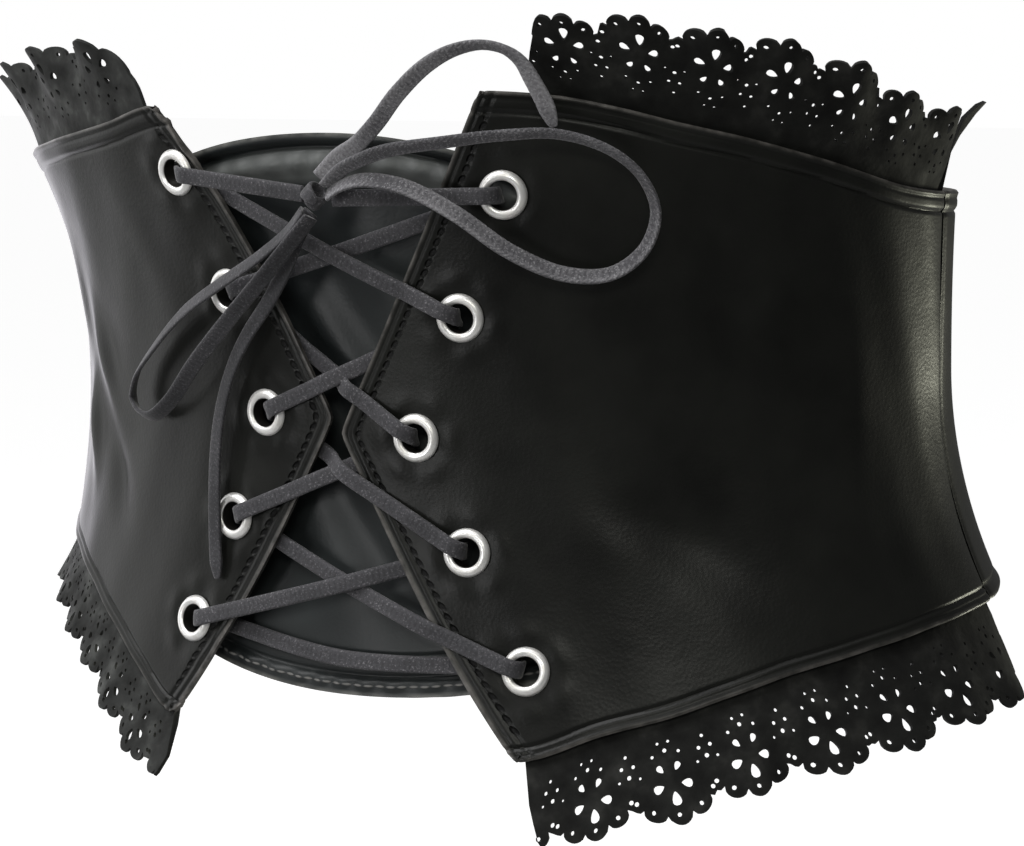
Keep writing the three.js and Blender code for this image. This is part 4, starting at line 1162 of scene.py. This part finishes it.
def lacing_half(first_side, strand):
    """Points and faces from the knot through every eyelet of one zigzag to the last one's back."""
    points = []
    faces = []
    sign = 1

    def add(spot, out, face=None):
        turn = spot[0] / WAIST_HALF_WIDTH
        points.append(body_point(turn, spot[1], out))
        faces.append(body_normal(turn, spot[1]) * sign if face is None else face)

    before = np.array([KNOT.x + first_side * (KNOT_WIDTH + GAP), KNOT.z - first_side * KNOT_SPLIT])
    add(before, OVER + KNOT_START)
    for row in range(EYELET_ROWS):
        side = -first_side if row % 2 else first_side
        spot = eyelet_spots(side)[row]
        last = row == EYELET_ROWS - 1
        target = join_spot() if last else eyelet_spots(-side)[row + 1]
        comes = toward(spot, before)
        goes = toward(spot, target)
        for away, out in INTO_EYELET:
            add(spot + comes * away, out)
        press = (comes + goes) / np.linalg.norm(comes + goes)
        tilt = body_normal(spot[0] / WAIST_HALF_WIDTH, spot[1]) * 0.01
        add(spot + press * PRESSED, -PANEL_WALL / 2, -sign * (np.array([press[0], 0, press[1]]) + tilt))
        sign = -sign
        for away, out in OUT_OF_EYELET:
            add(spot + goes * away, out)
        if not last:
            marks = {
                "leave": edge_of(side, spot, target),
                "meet": meet_of(side, row),
                "enter": edge_of(-side, target, spot),
            }
            for mark, along, out in STRANDS[strand]:
                add(marks[mark] + goes * along, out)
        before = spot
    return points, faces


def lacing():
    upper_points, upper_faces = lacing_half(-1, "upper")
    lower_points, lower_faces = lacing_half(1, "lower")
    join = join_spot()
    turn = join[0] / WAIST_HALF_WIDTH
    points = [*upper_points, body_point(turn, join[1], BEHIND), *lower_points[::-1]]
    faces = [*upper_faces, -body_normal(turn, join[1]), *lower_faces[::-1]]
    piece, *_ = flat_cord("laced_cord", points, faces)
    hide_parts("lacing")


braided_cord = cord_material()
lacing()

# Bow: the cord's two ends tied over the first crossing of the lacing. Each row is a point of the
# cord's middle line and the lean of its flat face: 90 lies flat on the belt, 0 stands on its edge.
LOOP_RIGHT = [
    (0.0039, -0.0854, 0.0585, 40),
    (0.0085, -0.0864, 0.0622, 45),
    (0.0135, -0.0873, 0.0644, 50),
    (0.0220, -0.0883, 0.0670, 55),
    (0.0360, -0.0881, 0.0690, 50),
    (0.0490, -0.0850, 0.0705, 45),
    (0.0610, -0.0799, 0.0706, 40),
    (0.0705, -0.0740, 0.0668, 35),
    (0.0760, -0.0695, 0.0607, 30),
    (0.0780, -0.0668, 0.0528, 30),
    (0.0756, -0.0676, 0.0448, 35),
    (0.0688, -0.0704, 0.0393, 40),
    (0.0590, -0.0744, 0.0392, 45),
    (0.0480, -0.0795, 0.0444, 45),
    (0.0367, -0.0840, 0.0530, 45),
    (0.0255, -0.0866, 0.0588, 45),
    (0.0149, -0.0870, 0.0602, 40),
    (0.0090, -0.0866, 0.0589, 35),
    (0.0046, -0.0859, 0.0566, 35),
]
LOOP_LEFT = [
    (-0.0024, -0.0862, 0.0528, 35),
    (-0.0066, -0.0864, 0.0478, 40),
    (-0.0147, -0.0862, 0.0418, 45),
    (-0.0280, -0.0838, 0.0344, 50),
    (-0.0415, -0.0796, 0.0268, 50),
    (-0.0548, -0.0741, 0.0167, 45),
    (-0.0632, -0.0704, 0.0086, 40),
    (-0.0650, -0.0696, 0.0030, 35),
    (-0.0619, -0.0711, 0.0000, 35),
    (-0.0569, -0.0730, -0.0004, 35),
    (-0.0492, -0.0758, 0.0042, 40),
    (-0.0384, -0.0800, 0.0147, 45),
    (-0.0255, -0.0842, 0.0261, 50),
    (-0.0130, -0.0868, 0.0374, 45),
    (-0.0054, -0.0872, 0.0452, 40),
    (-0.0001, -0.0862, 0.0513, 35),
]
TAIL_UP = [
    (0.0016, -0.0845, 0.0603, 80),
    (0.0064, -0.0840, 0.0650, 80),
    (0.0120, -0.0850, 0.0680, 75),
    (0.0194, -0.0884, 0.0730, 70),
    (0.0270, -0.0909, 0.0800, 65),
    (0.0342, -0.0907, 0.0860, 60),
    (0.0402, -0.0892, 0.0892, 50),
    (0.0460, -0.0870, 0.0903, 40),
    (0.0506, -0.0850, 0.0892, 40),
    (0.0534, -0.0832, 0.0868, 55),
    (0.0554, -0.0814, 0.0826, 75),
    (0.0572, -0.0792, 0.0774, 85),
    (0.0586, -0.0774, 0.0720, 85),
]
TAIL_DOWN = [
    (-0.0019, -0.0835, 0.0522, 85),
    (-0.0060, -0.0828, 0.0462, 85),
    (-0.0096, -0.0823, 0.0396, 85),
    (-0.0151, -0.0818, 0.0312, 80),
    (-0.0225, -0.0814, 0.0219, 75),
    (-0.0283, -0.0800, 0.0130, 75),
    (-0.0325, -0.0790, 0.0023, 80),
    (-0.0346, -0.0786, -0.0088, 85),
    (-0.0352, -0.0788, -0.0210, 90),
    (-0.0350, -0.0794, -0.0306, 90),
    (-0.0342, -0.0802, -0.0379, 90),
]


def bow_cord(name, node, rows, far_end, painted_lightness):
    points = np.array([row[:3] for row in rows])
    tangent = np.gradient(points, axis=0)
    tangent /= np.linalg.norm(tangent, axis=1, keepdims=True)
    out = body_normal(points[:, 0] / WAIST_HALF_WIDTH, points[:, 2])
    lean = np.radians([row[3] for row in rows])[:, None]
    faces = np.cross(tangent, out) * np.cos(lean) + out * np.sin(lean)
    piece, route, length = flat_cord(name, points, faces, ("end",) if far_end == "bare" else (), painted_lightness)
    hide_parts(node)


# The last number is painted light or shade: the right loop and raised tail are painted lighter, the left
# loop and hanging tail darker.
bow_cord("right_loop_cord", "bow_loop_right", LOOP_RIGHT, "object", 0.24)
bow_cord("left_loop_cord", "bow_loop_left", LOOP_LEFT, "object", -0.02)
bow_cord("raised_tail_cord", "bow_tail_up", TAIL_UP, "bare", 0.38)
bow_cord("hanging_tail_cord", "bow_tail_down", TAIL_DOWN, "bare", -0.1)

# Knot of the bow: the cord wrapped once round its own middle, the end of the wrap over its start
KNOT_LEAN = math.radians(44)
KNOT_INNER = 0.0019
KNOT_GROWTH = 0.0009
KNOT_TURNS = 1.25
KNOT_DRIFT = 0.0012


def bow_knot():
    along = Vector((math.cos(KNOT_LEAN), 0, math.sin(KNOT_LEAN)))
    out = Vector((0, -1, 0))
    side = along.cross(out)
    points = []
    faces = []
    for share in np.linspace(0, 1, 26):
        angle = (share - 0.1) * KNOT_TURNS * 2 * math.pi
        ray = out * math.cos(angle) + side * math.sin(angle)
        points.append(KNOT + ray * (KNOT_INNER + KNOT_GROWTH * share) + along * (share - 0.5) * KNOT_DRIFT)
        faces.append(ray)
    piece, *_ = flat_cord("knot_wrap", points, faces, ("start", "end"))
    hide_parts("bow_knot")


bow_knot()

# Floor and light: a plain white floor well below the belt, a near-white studio round it, broad soft
# lights from the viewer's left and above, and a tall soft light behind each side to edge the belt.
# A row of LIGHTS gives turn and rise in degrees, distance, width, height, power and colour.
FLOOR_DEPTH = 0.40
FLOOR_SIZE = 14.0
FLOOR_GLOW = 0.9
ROOM_GLOW = 0.16
LIGHTS = [
    ("key_light", -40, 54, 1.2, 0.8, 0.8, 10.5, (1.0, 1.0, 1.0)),
    ("left_edge_light", -116, -8, 0.55, 0.26, 0.65, 1.25, (0.96, 0.94, 1.0)),
    ("left_light", -78, 8, 1.2, 0.9, 1.0, 3.8, (1.0, 1.0, 1.0)),
    ("middle_light", -20, 4, 1.2, 0.22, 0.5, 2.2, (1.0, 1.0, 1.0)),
    ("front_light", 24, 27, 1.2, 0.45, 0.2, 2.6, (1.0, 1.0, 0.92)),
    ("right_edge_light", 140, -16, 1.0, 0.12, 0.24, 2.8, (1.0, 1.0, 0.8)),
    ("top_light", 30, 82, 1.3, 1.0, 1.0, 4.0, (1.0, 1.0, 1.0)),
]


def seen_straight(tree):
    return add_node(tree, "ShaderNodeLightPath", {}).outputs["Is Camera Ray"]


def studio():
    bpy.ops.object.select_all(action="DESELECT")
    bpy.ops.mesh.primitive_plane_add(size=FLOOR_SIZE, location=(0, 0, 0))
    floor = bpy.context.object
    floor.name = "floor"
    floor.data.transform(Matrix.Translation((0, 0, -FLOOR_DEPTH)))
    white, floor_tree, shader = new_material("white_floor", (0.4, 0.4, 0.4), 0.9)
    shader.inputs["Emission Color"].default_value = (1, 1, 1, 1)
    glowing = times(floor_tree, seen_straight(floor_tree), FLOOR_GLOW)
    floor_tree.links.new(glowing, shader.inputs["Emission Strength"])
    floor.data.materials.append(white)
    for name, turn, rise, distance, width, height, power, colour in LIGHTS:
        bpy.ops.object.light_add(type="AREA")
        light = bpy.context.object
        light.name = name
        light.data.shape = "RECTANGLE"
        light.data.size = width
        light.data.size_y = height
        light.data.energy = power
        light.data.color = colour
        facing = Euler((math.pi / 2 - math.radians(rise), 0, math.radians(turn)))
        light.matrix_world = facing.to_matrix().to_4x4() @ Matrix.Translation((0, 0, distance))
    world = bpy.data.worlds.new("studio")
    bpy.context.scene.world = world
    world.use_nodes = True
    tree = world.node_tree
    glow = tree.nodes["Background"]
    glow.inputs["Color"].default_value = (1, 1, 1, 1)
    glow.inputs["Strength"].default_value = ROOM_GLOW
    wall = add_node(tree, "ShaderNodeBackground", {}, Color=(1, 1, 1, 1), Strength=1.0)
    seen = seen_straight(tree)
    both = add_node(tree, "ShaderNodeMixShader", {}, _0=seen, _1=glow.outputs[0], _2=wall.outputs[0])
    tree.links.new(both.outputs[0], tree.nodes["World Output"].inputs["Surface"])


studio()
bpy.context.scene.view_settings.view_transform = "Standard"
